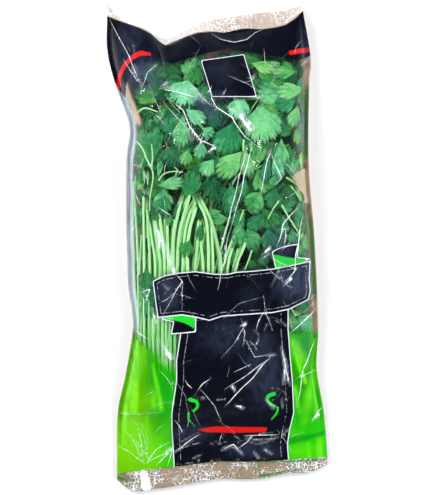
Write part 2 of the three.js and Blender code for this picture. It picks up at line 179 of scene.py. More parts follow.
# Single leaflets that lie against the front film: foot x and y, heading in degrees clockwise from +Y,
# length, half of the opening angle in degrees, paleness (partly painted shade: those further back are
# darker), yellowness, and level from the back (0) to the film (3) or over the stems (4).
FRONT_LEAFLETS = (
    (-45, 107.2, 300, 18.8, 30, 0.46, 0.95, 1), (-51, 103.5, 190, 11.2, 50, 0.13, 0.4, 0),
    (-45.4, 90.4, 24, 15.8, 15, 0.42, 0.7, 3), (-25.5, 100.5, 225, 23.2, 38, 0.32, 0.05, 1),
    (-21.8, 125.2, 196, 21.8, 58, 0.9, 0.15, 3), (-24.4, 103.1, 127, 20.2, 26, 0.81, 0.05, 3),
    (-25.3, 99.8, 186, 27.8, 20, 0.66, 0.3, 2), (-10.5, 88.5, 135, 10.5, 45, 0.7, 0.15, 2),
    (12, 93.8, 195, 29.2, 36, 0.38, 0.05, 2), (18.8, 113.2, 195, 20.2, 40, 0.85, 0.15, 3),
    (30.8, 107.2, 172, 31.5, 46, 0.82, 0.35, 3), (55.5, 111, 282, 30, 28, 0.7, 0.25, 1),
    (66, 118.5, 262, 23.2, 25, 0.8, 0.55, 3), (59.2, 111, 245, 18, 35, 0.4, 0.05, 2),
    (63, 101.2, 5, 16.5, 24, 0.2, 0.5, 2), (60, 106.5, 195, 18.8, 26, 0.7, 0.5, 3),
    (63, 94.5, 193, 19.5, 20, 0.62, 0.8, 2), (66.8, 102, 185, 16.5, 14, 0.5, 0.5, 1),
    (66, 93, 180, 13.5, 18, 0.3, 0, 0), (24, 138, 108, 21, 22, 0.7, 0.8, 2),
    (34.5, 139.5, 125, 16.5, 30, 0.75, 0.6, 1), (60, 132, 262, 19.5, 25, 0.6, 0.6, 2),
    (64.5, 129, 200, 12, 24, 0.35, 0.1, 1), (48.8, 141, 150, 13.5, 32, 0.4, 0.5, 0),
    (-13.5, 136.5, 200, 18, 40, 0.3, 0.5, 1), (-22.5, 135, 160, 16.5, 36, 0.35, 0.5, 0),
    (-33.8, 132, 170, 16.5, 40, 0.21, 0.3, 0), (-2.2, 139.5, 170, 15, 40, 0.35, 0.5, 0),
    (-39.8, 123, 110, 16.5, 40, 0.26, 0.2, 0), (-48.8, 58.9, 340, 33, 20, 0.31, 0.35, 3),
    (-48.8, 59.6, 8, 30.8, 17, 0.35, 0.3, 3), (-51, 66, 250, 13.5, 40, 0.21, 0.3, 2),
    (-44.2, 50.2, 10, 15, 13, 0.55, 0.1, 3), (-61.1, 41.2, -6, 15, 7, 0.95, 0.6, 2),
    (-54, 45.8, -3, 12.8, 7, 1, 0.6, 2), (-51.4, 45.8, -2, 12, 9, 0.95, 0.5, 2),
    (-56.2, 51.8, 200, 10.5, 35, 0.65, 0.7, 1), (-45.4, 45.8, 83, 21.8, 20, 0.68, 0.3, 3),
    (-39.8, 44.2, 182, 18, 36, 0.6, 0.2, 2), (-27.8, 80.2, 200, 24.8, 28, 0.13, 0.1, 1),
    (-21.8, 72.8, 190, 13.5, 35, 0.62, 0.7, 3), (-11.2, 78.8, 190, 14.2, 35, 0.7, 0.1, 2),
    (-2.4, 65.5, 215, 15.8, 38, 0.75, 0.3, 3), (-2.2, 67.5, 140, 12.8, 35, 0.3, 0, 2),
    (18.9, 71.6, 223, 27.8, 26, 0.75, 0.65, 3), (19.5, 73.5, 170, 22.5, 24, 0.75, 0.5, 2),
    (-22.5, 33.8, 12, 23.2, 30, 0.3, 0.25, 2), (-1.5, 54, 190, 19.5, 30, 0.12, 0, 1),
    (10.5, 48, 185, 18, 28, 0.45, 0.1, 2), (21, 51, 195, 19.5, 28, 0.4, 0.2, 1),
    (43.5, 74.2, 176, 26.2, 16, 0.7, 0.1, 3), (37.5, 72, 184, 26.2, 14, 0.35, 0, 2),
    (47.2, 81.8, 178, 25.5, 20, 0.7, 0.4, 2), (54.8, 50.2, 5, 18, 34, 0.38, 0.2, 3),
    (63.8, 55.5, 0, 17.2, 16, 0.85, 1, 2), (52.5, 76.5, 175, 13.5, 30, 0.2, 0.2, 1),
    (33, 42, 215, 18.8, 38, 0.58, 0.45, 3), (42.8, 45, 190, 18, 34, 0.3, 0.1, 2),
    (54, 46.5, 200, 16.5, 26, 0.3, 0.3, 1), (57, 46.5, 150, 15, 12, 0.7, 0.7, 2),
    (3, 27, 250, 12, 34, 0.6, 0.6, 2), (13.5, 30, 170, 18, 28, 0.35, 0.2, 1),
    (33, 30, 150, 21, 32, 0.3, 0.5, 2), (22.5, 16.5, 165, 19.5, 30, 0.55, 0.35, 2),
    (37.5, 15, 175, 18, 34, 0.35, 0.05, 2), (49.5, 25.5, 190, 19.5, 28, 0.4, 0.15, 1),
    (58.5, 31.5, 170, 19.5, 22, 0.45, 0.4, 1), (63.8, 22.5, 180, 19.5, 18, 0.5, 0.8, 1),
    (-13.1, 18, 180, 14.2, 22, 0.3, 0.35, 4), (-20.2, 6, 200, 15, 34, 0.42, 0.55, 4),
    (10.5, 3, 185, 18, 26, 0.55, 0.4, 1), (49.5, 6, 200, 18, 34, 0.3, 0.1, 1),
    (63, 6, 185, 22.5, 20, 0.4, 0.4, 1), (-53.2, -15, 175, 18, 34, 0.22, 0.3, 4),
    (-57.8, -26.2, 190, 16.5, 32, 0.32, 0.5, 4), (-50.2, -31.5, 170, 15, 34, 0.28, 0.2, 4),
    (66, -18, 185, 22.5, 20, 0.45, 0.4, 1), (58.5, -51, 120, 21, 34, 0.62, 0.1, 2),
    (61.5, -69, 195, 18, 26, 0.5, 0.3, 1), (57, -67.5, 150, 30, 7, 0.9, 0.6, 2),
    (54.8, -78, 158, 25.5, 6, 0.8, 0.7, 1), (-31.5, 90, 190, 19.5, 32, 0.17, 0.1, 0),
    (-43.5, 97.5, 170, 18, 30, 0.26, 0.2, 0), (3, 111, 180, 19.5, 30, 0.15, 0.1, 0),
    (-6, 102, 160, 18, 28, 0.18, 0, 0), (-16.5, 58.5, 170, 19.5, 36, 0.15, 0.1, 0),
    (6, 39, 180, 19.5, 34, 0.12, 0, 0), (30, 66, 185, 21, 34, 0.25, 0.1, 0),
    (25.5, 88.5, 185, 21, 36, 0.3, 0.1, 0), (43.5, 102, 185, 21, 36, 0.35, 0.1, 0),
    (18.8, 35.2, 115, 16.5, 36, 0.62, 0.5, 3), (33, 25.5, 215, 16.5, 34, 0.35, 0, 2),
    (15, 21, 175, 21, 26, 0.5, 0.35, 2), (18.8, 7.5, 125, 12, 34, 0.6, 0.35, 3),
    (52.5, 48, 190, 13.5, 26, 0.1, 0.4, 2), (39, 39, 160, 12, 34, 0.42, 0.3, 2),
    (66.8, 30, 183, 21, 20, 0.15, 0.2, 2), (66.8, 11.2, 180, 15, 26, 0.5, 0.6, 2),
    (60, 27.8, 185, 10.5, 30, 0.4, 0, 2), (10.5, 44.2, 185, 21, 26, 0.42, 0.1, 2),
    (-3, 48, 150, 18, 34, 0.15, 0.1, 1), (8.2, 21.8, 262, 13.5, 30, 0.6, 0.45, 3),
    (3, 18, 180, 9, 34, 0.35, 0.5, 2), (55.5, 15, 175, 13.5, 30, 0.5, 0, 1),
    (30, 9, 200, 15, 30, 0.4, 0.2, 1), (40.5, 9, 170, 18, 30, 0.3, 0.1, 1),
    (46.5, -1.5, 190, 13.5, 30, 0.35, 0.1, 1), (5.2, 2.2, 170, 15, 28, 0.25, 0.3, 0),
    (35.2, -3, 185, 15, 32, 0.3, 0.1, 0), (24, -7.5, 170, 12, 32, 0.3, 0.4, 0),
    (-51.8, 97.5, 170, 13.5, 40, 0.1, 0.3, 1), (-15.8, 62.2, 180, 15, 32, 0.15, 0, 1),
    (-7.5, 52.5, 175, 13.5, 34, 0.2, 0.1, 1), (6, 73.5, 180, 13.5, 34, 0.2, 0.1, 0),
    (42.8, 54, 195, 10.5, 30, 0.65, 0.3, 3), (45, 62.2, 185, 15, 24, 0.3, 0.1, 1),
    (-57.8, 60, 175, 13.5, 32, 0.17, 0.3, 1), (-58.5, 74.2, 205, 16.5, 28, 0.21, 0.2, 1),
    (-59.2, 43.5, 165, 12, 34, 0.15, 0.3, 0), (-14.2, 32.2, 185, 13.5, 34, 0.12, 0.2, 0),
    (-3, 73.5, 200, 15, 34, 0.15, 0.1, 0), (-43.5, 73.5, 175, 16.5, 34, 0.1, 0.2, 0),
    (66, 73.5, 185, 13.5, 26, 0.3, 0.2, 1), (66, 114, 185, 15, 28, 0.12, 0.5, 2),
    (61.5, 123, 200, 13.5, 30, 0.35, 0.5, 2), (-41.2, 33, 200, 15.8, 34, 0.4, 0.2, 1),
    (-50.2, 33.8, 168, 11.2, 30, 0.3, 0.4, 2), (-30.8, 32.2, 165, 13.5, 32, 0.25, 0.1, 2),
    (-34.5, 24, 190, 9, 34, 0.55, 0.35, 3), (-54, 31.5, 200, 9.8, 28, 0.5, 0.5, 2),
    (-45.8, 26.2, 175, 9, 30, 0.25, 0.2, 2), (-54.8, -36, 150, 12, 34, 0.4, 0.5, 4),
    (-56.2, -43.5, 195, 12, 30, 0.3, 0.3, 4), (-39, 39, 190, 16.5, 36, 0.34, 0.3, 4),
    (-57.8, 33, 180, 19.5, 30, 0.15, 0.2, 0), (-56.2, 12, 175, 19.5, 28, 0.15, 0.2, 0),
    (-58.5, -4.5, 180, 18, 28, 0.15, 0.3, 0), (-57, -46.5, 180, 18, 28, 0.15, 0.3, 0),
    (-58.1, -19.5, 178, 13.5, 30, 0.2, 0.2, 4), (-49.5, -24.8, 186, 15, 32, 0.24, 0.3, 4),
    (-54, -36.8, 172, 15, 34, 0.28, 0.2, 4), (-48.8, -41.2, 182, 12, 30, 0.2, 0.4, 4),
    (64.5, -36, 178, 15, 34, 0.3, 0.1, 1), (63, 38.2, 180, 15.8, 32, 0.25, 0.1, 1),
    (60.8, 90.8, 182, 15.8, 26, 0.2, 0.1, 1), (63.8, 80.2, 180, 13.5, 22, 0.25, 0.1, 0),
    (66.8, 43.5, 178, 16.5, 22, 0.3, 0.3, 1), (66, 13.5, 180, 16.5, 22, 0.35, 0.3, 1),
    (61.5, 108, 180, 15, 26, 0.25, 0.2, 1),
)
FRONT_LEVELS = (0.9, 0.935, 0.97, 1.0, 1.04)  # shares of the room between the films
PETIOLE_LEVEL = 1.02
NARROW, LONG = 18, 24  # a leaflet that opens less has 3 lobes, and one as long as this has 7

# Stems that lie against the front film: x at the foot heights, then the points from there up.
FOOT_HEIGHTS = (-121.5, -61.5, -16.5)
FRONT_STEMS = (
    ((), (-57, -104), (-58.3, -78), (-59.3, -56), (-61.6, -25), (-62.6, 5), (-62.8, 27)),
    ((-57.8, -58.5, -58.9), (-60, 9.8), (-61.5, 33.8)), ((-53.2, -54.4), (-54.4, -10.5), (-54.8, 34.5)),
    ((-50.2, -51, -50.2), (-51, 6), (-52.1, 27)), ((-46.5, -48, -46.1), (-48.8, 7.5), (-51.8, 25.5)),
    ((-43.5, -44.2, -42.4), (-45, 7.5), (-46.5, 25.5)), ((-40.5, -41.2, -39.4), (-41.2, 9), (-43.5, 27)),
    ((-37.5, -38.2, -36.4), (-37.1, 9.8), (-36.8, 26.2)),
    ((-33.8, -35.2, -33), (-32.2, 9), (-28.5, 27), (-24.8, 39)),
    ((-30.8, -31.5, -30), (-28.1, 9.8), (-24, 27), (-21, 36.8)),
    ((-27.8, -27.8, -25.9), (-24, 10.5), (-19.9, 27), (-16.5, 34.5)),
    ((-24, -23.2, -22.1), (-22.5, -1.5), (-20.2, 15), (-16.5, 27)),
    ((-21, -18.8, -16.5), (-15, 1.5), (-13.5, 13.5), (-11.2, 24.8)),
    ((-16.5, -12, -10.7), (-12.8, 5.2), (-14.6, 22.5)),
    ((-12.8, -8.2, -6.8), (-7.1, 6), (-9, 22.5), (-14.2, 33.8)),
    ((-9.8, -5.2, -3.4), (-3.8, 3), (-4.5, 16.5)),
    ((-6.8, 0.8), (2.6, -15), (-0.4, 3.3), (-4.5, 19.5), (-11.7, 34.5)),
    ((-3.8, 4.5, 7.5), (9.8, -4.5), (13.5, 6)), ((-1.5, 9, 13.5), (18.8, -1.5), (24, 12)),
)

# Loose stalks over the leaves: their points.
PETIOLES = (
    ((-59.1, 100.5), (-53.7, 103.4), (-44.6, 100.5)), ((-59.1, 100.5), (-60.4, 97.5), (-61.1, 93)),
    ((-48.8, 58.9), (-47.6, 53.6), (-48.2, 47.4), (-50.1, 36.8), (-50.2, 27)),
    ((-48.8, 58.9), (-52.5, 66), (-55.6, 73.5), (-60.4, 79.5)), ((-48.8, 58.9), (-48, 67.5), (-48.8, 76.5)),
    ((-43.5, 49.5), (-40.9, 53.2), (-37.6, 55.2), (-31.7, 56.1), (-25.5, 55.4)),
    ((19.4, 79.4), (19.1, 75.8), (18.9, 71.2)),
    ((50.9, 51.8), (55.5, 49.1), (60.8, 45), (64.5, 40.5), (67.8, 34.5)),
    ((54, 45.8), (57.8, 41.2), (62.2, 34.5)), ((58.5, -51), (55.5, -46.5), (53.2, -42)),
    ((25.5, -2.2), (23.2, -9), (20.2, -16.5)), ((15, -0.8), (13.5, -7.5), (11.2, -15)),
    ((47.5, 31.5), (53.2, 21.8), (60.5, 10.5)), ((45.4, 34.5), (41.2, 28.5), (37.3, 21.3)),
)

# ---------------------------------------------------------------- print on the front film

BAND = (
    (-84, 173.6), (-84.5, 140), (-79.5, 128), (-74, 119), (-68.6, 111.3), (-67.9, 122.3), (-63.8, 129.8),
    (-53.3, 136.5), (-43.5, 139.5), (-32.3, 137.3), (-21, 141), (-6, 145.5), (7.5, 148.5), (16.5, 147),
    (34.2, 144), (47.3, 141.8), (60.8, 139.8), (74, 146), (66, 179), (64.3, 177.6), (58.8, 171.8),
    (51.5, 167.1), (43, 165), (33.6, 163.9), (23, 164.6), (16.7, 164.2), (10.4, 162.6), (4.1, 161.3),
    (-2.2, 162), (-8.5, 161.3), (-14.8, 160.7), (-25.4, 157.1), (-33.8, 154.4), (-39, 151.3),
    (-43.3, 154.4), (-48.5, 159.2), (-56.9, 163.4), (-66.4, 167.1), (-72.7, 169.2),
)
BADGE = ((-13.3, 139.8), (20.2, 145.1), (30, 110.7), (-4.6, 110.7))
RIBBON = (
    (-48.2, -24.8), (-39.8, -20.8), (-30, -18.8), (-16.5, -17.5), (-2.3, -19.5), (7.5, -19.5), (14.3, -18),
    (27.5, -17.1), (42, -15.5), (57, -12.6), (69.7, -9.8), (68.7, -23.3), (69.8, -31.5), (68.3, -39),
    (53.6, -46.2), (40.9, -48.8), (17.3, -50.3), (3.8, -51.2), (-6, -54.4), (-16.5, -51.9), (-26.5, -50.3),
    (-44.6, -52.3), (-46.5, -37.5),
)
LEFT_FOLD = ((-41.5, -50), (-15.7, -48.5), (-16, -62.9), (-34.9, -64.8), (-33, -55.4), (-41, -53.6))
LEFT_FOLD_GREEN = (
    (-40.6, -50), (-16.6, -48.5), (-16.9, -61.6), (-19, -59.4), (-21.8, -57.6), (-25, -56.2), (-28.8, -55),
    (-40, -52.8),
)
RIGHT_FOLD = (
    (40, -3.2), (44, -0.9), (48.6, 0.8), (54, 2), (60.8, 2.9), (59.4, -7.2), (69.6, -8), (61.6, -13),
    (43.3, -16.6),
)
RIGHT_FOLD_GREEN = (
    (40.9, -4.8), (45, -5.6), (49.6, -6.7), (59.6, -8.3), (68, -8.8), (61.6, -13), (43.9, -16.6),
)
PANEL = (
    (-28, -50), (-27.8, -65), (-30.8, -84), (-30.8, -99), (-34.5, -124.2), (-34.5, -137.3), (-33, -164.3),
    (-33, -190), (54, -190), (54, -160.5), (53, -148.5), (54.6, -137.3), (57.6, -124.2), (56.3, -99),
    (54.6, -81), (53, -60.8), (53, -40),
)
SWOOSHES = (
    (((-50.5, 144), (-57, 144.8)), 1.1, 1.9),
    (((-57, 144.8), (-63, 141.8), (-69, 135.8), (-72.8, 129), (-74.3, 123.8), (-73.5, 121)), 1.9, 1.4),
    (((54.8, 145.5), (62, 147.2), (69, 148.6)), 1.7, 1.8),
)
RED_BAR = (
    (-15.8, -136.7), (-2, -134.2), (16, -134.8), (37.5, -135.2), (36.5, -138.8), (12, -139.4), (-8, -138.8),
)
CURLS = (
    (((-20.3, -113.4), (-15.6, -115.2), (-15, -118.9), (-18, -122.3)), 1.5, 0.8),
    (((-21.6, -123.5), (-21.2, -128.8), (-17, -134.1)), 0.9, 0.45),
    (((42.4, -109.5), (38, -111.2), (37.5, -114.5), (40.8, -117.8), (43.5, -118.9)), 1.5, 0.8),
    (((45.2, -120), (44.4, -124.4), (40.2, -129.4)), 0.9, 0.45),
)
SEAL_MARKS = (
    (((31.1, -161.7), (30.8, -167), (32.3, -172.5)), 0.9, 0.5),
    (((31.5, -162.4), (50, -161.4), (76, -160)), 0.5, 0.7),
    (((33, -172), (48, -169.5), (63, -167)), 0.9, 0.5),
    (((-76, -170), (-70, -171.5), (-65, -176)), 0.4, 0.6), (((-66, -174), (-62, -180)), 0.5, 0.4),
    (((-75.5, -173), (-71, -174.5), (-68, -177)), 1.2, 0.7), (((-74, -177), (-69, -181)), 0.6, 1.1),
)
TINT_TOP = -61  # where the green tint starts at the side edges
TINT_DROP = 26  # how much lower it starts by the left edge of the panel
TINT_FADE = 6  # how far below its start it is full
TINT_SOLID = -98  # below this it hides what lies behind it
TINT_THICKEN = 36  # over this length
TINT_SLOPE = (64, 31)  # how far left of the middle its start begins to drop, and over what width
TINT_SIDE = (40, 22)  # how far left of the middle it begins to turn yellower, and over what width
STEM_SHADE = (42, 24, 0.5)  # how far below the middle the stems darken, over what length and by how much

# ---------------------------------------------------------------- creases in the front film

# Sharp creases that run across the front: their points, height and brightness.
# The brightness is that of the white line along a crease: part stress whitening, part painted highlight.
CREASES = (
    (((-36.8, 110.9), (-24.8, 100.8), (-20.7, 89.3), (-12.8, 79.2), (-2.6, 74.7), (-5.3, 69.2)), 1.1, 1),
    (((-6.2, 117.4), (-4.7, 110.3), (-0.8, 103.3), (11.4, 95.3), (14, 90.2), (19.4, 82.2),
     (25, 78.2)), 1.1, 1),
    (((25, 78.2), (24.5, 72.2), (22.5, 62.1), (19.4, 52), (17.9, 43), (13.4, 25.5), (9.4, 13.5)), 1, 0.9),
    (((9.4, 13.5), (6.4, 1.5), (5.3, -11.8), (3.4, -14.8), (-0.2, -30.8)), 1, 0.9),
    (((21.8, 76), (19.3, 62.6), (15.9, 52), (10, 25.5), (6, 13.5), (3.1, 1), (2.2, -10)), 0.5, 0.75),
    (((-42.8, 118.4), (-28, 115), (-14.7, 110.9)), 0.8, 0.8),
    (((-21.8, 124.5), (-11.7, 111.3), (-4, 104)), 0.7, 0.6),
    (((38.6, 71.2), (35, 56), (31.5, 40)), 0.9, 0.9),
    (((38.6, 71.2), (43, 61), (47.6, 51.1), (43.5, 47.3)), 0.9, 0.8),
    (((61.1, 32), (48.6, 16.4), (44, 0.3)), 0.8, 0.9),
    (((63.6, 24.5), (60.6, 10.4), (59.6, 3.3), (57.6, -16.8), (49.5, -26.8)), 0.8, 0.9),
    (((50.6, 14.4), (49.5, 1.4)), 0.6, 0.8), (((75.7, -43.9), (54.6, -64)), 0.9, 0.9),
    (((-62, 42), (-57, 31.5)), 0.6, 0.6), (((-44.9, 30.5), (-32.8, 22.4)), 0.6, 0.7),
    (((-58, -33.8), (-50, -30.8), (-54, -42)), 0.6, 0.7),
    (((-30.8, -19.8), (-26.3, -24.8), (-41, -50.5)), 0.6, 0.7), (((-25.7, -25), (-26.2, -46.9)), 0.5, 0.5),
    (((-62, -62), (-52, -67.9)), 0.7, 0.8), (((41.3, -79.3), (15.5, -109), (5, -118)), 0.9, 0.9),
    (((43, -80), (6, -105.8)), 0.7, 0.7), (((41.3, -79.3), (28, -82), (19.4, -66)), 0.5, 0.5),
    (((47.9, -73.8), (53.4, -101)), 0.9, 0.9), (((74.3, -67.2), (64.4, -90.3), (60, -120)), 0.7, 0.8),
    (((78.8, -120), (71, -129.8)), 0.8, 0.8), (((-33.5, -150.8), (-46, -164)), 0.7, 0.7),
    (((-33.5, -150.8), (-38, -164)), 0.6, 0.6), (((-56.6, -133.2), (-52.2, -158), (-66, -140)), 0.5, 0.4),
    (((-31.3, -153), (-12.8, -140.3)), 0.8, 0.8), (((20.3, -141.8), (46.8, -141)), 0.7, 0.8),
    (((2.8, -153), (12, -148), (17, -154)), 0.8, 0.9), (((-81, 171), (-66, 143), (-56.3, 118.5)), 0.9, 0.7),
    (((-70, 140), (-58, 121)), 0.6, 0.6), (((-56.3, 118.5), (-52, 130), (-44, 137)), 0.6, 0.6),
    (((-45, 152), (-40, 137), (-38, 120)), 0.9, 0.15),
    (((-4.3, 159.7), (3.1, 155.5), (12.5, 153.6), (22, 156), (28.3, 161.3), (34, 163.7)), 0.6, 0.6),
    (((-56, -163), (-66, -154), (-76, -149)), 0.4, 0.5),
    (((-56, -163), (-62, -148), (-70, -137)), 0.4, 0.4),
    (((-56, -163), (-57, -148), (-60, -134)), 0.4, 0.5),
    (((-56, -163), (-52, -148), (-53, -136)), 0.4, 0.35),
    (((-54, -163), (-46, -152), (-35, -146)), 0.5, 0.6),
    (((-54, -163), (-44, -157), (-34, -153)), 0.5, 0.6),
    (((-74, -124.5), (-56, -124), (-40, -122.5)), 0.5, 0.3),
)
CREASE_WIDTH = 1.4
PLEAT_HEIGHT = 0.66
PLEAT_REACH = (0.035, 0.045)  # shares of the length over which the gathers die out, at the bottom and the top
LOOSE_ROOM = 8  # room under the film from which it is fully loose
CUSHION_HEIGHT = 0.45
# Gentle waves, each as how many, how long and their first seed.
WAVES = {
    "sway of creases": (4, 34, 7), "cushions": (7, 34, 5), "slack edge": (4, 9, 23),
    "ragged ovals": (4, 9, 11), "back film": (7, 26, 81), "bottom gathers": (5, 15, 31),
    "top gathers": (5, 17, 57),
}
CREASE_REACH = 4  # greatest distance to a crease that a point carries
SMALL_CREASES = 240
SMALL_FIELD = ((-66, 136), (-156, 310))  # first x and width, first y and length
SMALL_TURN, SMALL_BEND = 150, 50  # spread of their headings and bends, degrees
SMALL_LENGTH = (7, 34)
SMALL_HEIGHT = (0.12, 0.5)

# Painted glare is white, where the film glares: tapered strokes, each its points, half width at each end,
# and strength. Reflection and shade is painted: a bluish reflection on the print, and shade over the
# leaves. Gloom is painted shade in the tint, and a gleam a painted highlight there. They are soft ovals:
# x, y, length, width, turn of the length from +Y in degrees, strength.
PAINTED_GLARE = (
    (((-42.3, 118.4), (-37.8, 122.4)), 0.6, 1.6, 0.6),
    (((-40.8, 119.9), (-24.8, 115.4), (-10.7, 109.8)), 1.6, 2.6, 0.3),
    (((5.9, 104.3), (15.4, 98.3), (24.5, 88.7)), 0.4, 3.4, 0.7),
    (((12.4, 111.3), (19.4, 96.3)), 0.6, 2.6, 0.42), (((23, 111.8), (32, 110.8)), 0.3, 1.3, 0.85),
    (((-8.2, 69.2), (-2.2, 73.7)), 0.2, 1.5, 0.9), (((36, 69.2), (39.5, 71.7)), 0.2, 0.9, 0.9),
    (((62.6, 136.4), (69.7, 142.5)), 0.6, 1.4, 0.5), (((37.5, 135.4), (44.5, 129.4)), 0.4, 1.4, 0.3),
    (((-50.9, 129.4), (-46.3, 135.4)), 0.2, 1, 0.5), (((-61.4, 135.4), (-55.9, 118.4)), 1.4, 0.2, 0.3),
    (((-21.7, 88.2), (-18.7, 80.2)), 0.6, 2.2, 0.3),
    (((-46.9, 16.4), (-43.3, 9.4), (-40.8, 1.3)), 0.8, 3.2, 0.78),
    (((-41.3, 3.3), (-35.8, -7.7), (-32.3, -18.8)), 3.2, 1.6, 0.66),
    (((33, -5.2), (38.5, -0.7)), 0.2, 1.7, 0.95), (((32, -9.2), (38, -4.7)), 0.2, 1.2, 0.6),
    (((48.6, 13.6), (54.1, 14.2)), 0.9, 0.3, 0.85), (((49.1, -28.8), (54.1, -23.3)), 0.2, 1.7, 0.9),
    (((-40.8, -26.8), (-36.8, -30.8)), 0.5, 1.2, 0.4), (((40, -29.3), (45.6, -16.8)), 0.3, 1, 0.42),
    (((-48.7, -44.9), (-45.6, -55.4)), 0.8, 1.4, 0.75), (((16.4, -58.7), (20.6, -56.9)), 0.3, 1.5, 0.9),
    (((-43.3, -53.4), (-33.8, -52.9)), 1.4, 1, 0.5), (((-40.1, -72.7), (-34.6, -82.1)), 0.8, 2.2, 0.9),
    (((-44.5, -65), (-39, -79.9)), 0.5, 1.8, 0.42), (((47.7, -73.8), (51, -89.2)), 0.4, 1.8, 0.85),
    (((51, -89.2), (49.2, -102.4)), 1.8, 0.6, 0.8), (((71, -131), (75.4, -125.5)), 0.3, 1.9, 0.8),
    (((11.1, -103.5), (13.8, -108.5)), 1.6, 0.3, 0.85), (((12.5, -117.6), (18.8, -120)), 0.4, 1.4, 0.85),
    (((2.8, -151.4), (10.5, -149.5), (17.7, -154.3)), 0.3, 1, 0.8),
    (((21.5, -142.9), (32.5, -144.8), (44.6, -143.7)), 0.7, 0.3, 0.5),
    (((35.8, -113.4), (41.9, -120)), 0.3, 1.4, 0.7), (((-31.8, -153.6), (-18.1, -145.3)), 1, 0.2, 0.6),
    (((-42.3, -157.4), (-35.1, -151.4)), 0.4, 1.7, 0.6),
    (((-74.2, -124.4), (-65.9, -124.4)), 0.4, 1.2, 0.4), (((39.1, -80.4), (43.5, -79.9)), 0.9, 0.5, 0.7),
    (((-55.5, -170.8), (-53.5, -180.5)), 3.2, 3.9, 1.4), (((27, -153.6), (30.9, -158.6)), 0.6, 1, 0.75),
    (((35.7, -152.4), (41.3, -155.8)), 1.1, 0.7, 0.6), (((-18.1, -158.5), (-11.5, -155.8)), 0.6, 0.3, 0.8),
    (((21.5, -144.2), (27, -147.5), (35.8, -147)), 0.3, 0.6, 0.85),
    (((35.8, -147), (44.6, -142)), 0.5, 0.2, 0.8), (((46.8, -111.2), (49, -120)), 0.3, 0.6, 0.75),
    (((-27, -146), (-14, -138.7)), 0.4, 0.2, 0.75), (((51.5, -93), (54, -103)), 1.4, 0.5, 0.8),
    (((27, -61), (31, -66), (29, -72)), 0.3, 0.6, 0.7), (((37, -57), (34.5, -63)), 0.5, 0.2, 0.7),
    (((5, -153), (13, -150), (19, -156)), 0.3, 0.7, 0.8),
)
REFLECTION_AND_SHADE = (
    (-55, 127, 16, 15, 20, 0.68), (-66, 152, 26, 10, 12, 0.35), (67, 152, 14, 5, 0, 0.5),
    (-8, 103, 15, 6, -48, 0.7), (-37, -33, 15, 9, 0, 0.6), (57, -24, 16, 14, 0, 0.85),
    (24, -38, 10, 8, 0, 0.2), (8, -66, 14, 22, 0, 0.35), (35, -92, 26, 14, 0, 0.5),
    (-21, -140, 14, 7, 90, 0.45), (28, -152, 20, 7, 90, 0.5), (46, 1, 13, 9, -20, 0.6),
    (63, -72, 10, 7, 0, 0.4), (64, 90, 13, 5, 0, 0.5), (-1, 112, 5, 12, 0, 0.35), (2, 128, 10, 12, 0, 0.2),
)
GLOOM = (
    (-50, -88, 22, 2.2, -5, 0.8), (-61, -84, 18, 1.2, -3, 0.6), (-43, -122, 9, 1.6, 80, 0.5),
    (-38, -108, 16, 4, -4, 0.7), (-45, -112, 12, 2, 0, 0.5), (64, -88, 16, 1.6, 5, 0.5),
    (-34, -140, 20, 3, 0, 0.4), (72, -112, 18, 1.5, -8, 0.5), (60, -125, 12, 2, 0, 0.4),
)
# Painted shade of stalks and folds seen through the tint: strokes as for the painted glare.
SHADOWS = (
    (((-62.6, -73.8), (-63.7, -90.3), (-66.5, -106.8)), 0.5, 1, 0.45),
    (((-55.5, -82.6), (-54.4, -98), (-50.5, -115.6)), 1.5, 0.5, 0.6),
    (((-47.8, -87), (-50.5, -100), (-44.5, -120)), 0.4, 0.5, 0.55),
    (((-40.1, -87), (-41.2, -103.5), (-36.8, -120)), 1, 0.4, 0.5),
    (((-58.8, -123.3), (-50, -121.7)), 0.5, 1.3, 0.8), (((55.6, -87), (60, -111.2)), 0.7, 0.3, 0.55),
    (((67.7, -101.3), (65.5, -124.4)), 0.4, 0.9, 0.5),
    (((54.5, -145.8), (68, -143), (80.9, -139.5)), 3, 1.6, 0.85),
    (((-58, -140), (-57.4, -152)), 0.3, 0.9, 0.35),
)
GLEAM = (
    (-46.7, -113.4, 9, 3, -5, 0.7), (-64.8, -100, 18, 5, 8, 0.6), (-61, -142, 15, 13, 0, 0.7),
    (-48, -150, 12, 10, 0, 0.4), (60, -79, 14, 4.5, 158, 1), (70, -107, 22, 4, 12, 0.8),
    (77, -153, 10, 3, 0, 0.8), (64, -153, 11, 5, 80, 0.35), (-56, -82, 14, 3, 5, 0.4),
)
# Painted highlights of sunlit stalks seen through the tint: strokes as for the painted glare.
STALKS = (
    (((-61, -70.5), (-60.6, -92.5), (-62.5, -122)), 2.4, 3.4, 0.6),
    (((-48.3, -88), (-44.9, -104), (-41.9, -121)), 1.2, 1.9, 0.95),
    (((56, -70), (60, -85), (66, -101)), 1.6, 1.9, 1),
    (((73.4, -69), (71.5, -98), (74.5, -123)), 1.2, 1.7, 0.85),
    (((57.8, -105), (61.5, -124)), 1.9, 1.2, 0.7), (((-53, -127), (-49.5, -150)), 1.6, 2.2, 0.45),
    (((-68.5, -118), (-69.5, -148)), 1.8, 2.4, 0.5), (((68, -148), (69.5, -159)), 1.5, 2.2, 0.5),
)
# Where no leaf lies under the front film and it rests on the back one.
SLACK = (
    (58.1, 57.6), (69.7, 61.1), (74, 60), (74, 27.4), (68.7, 30.4), (63.6, 35.5), (60.5, 43.5),
    (54.6, 49.6),
)
SLACK_EDGE = 5  # width over which it fades
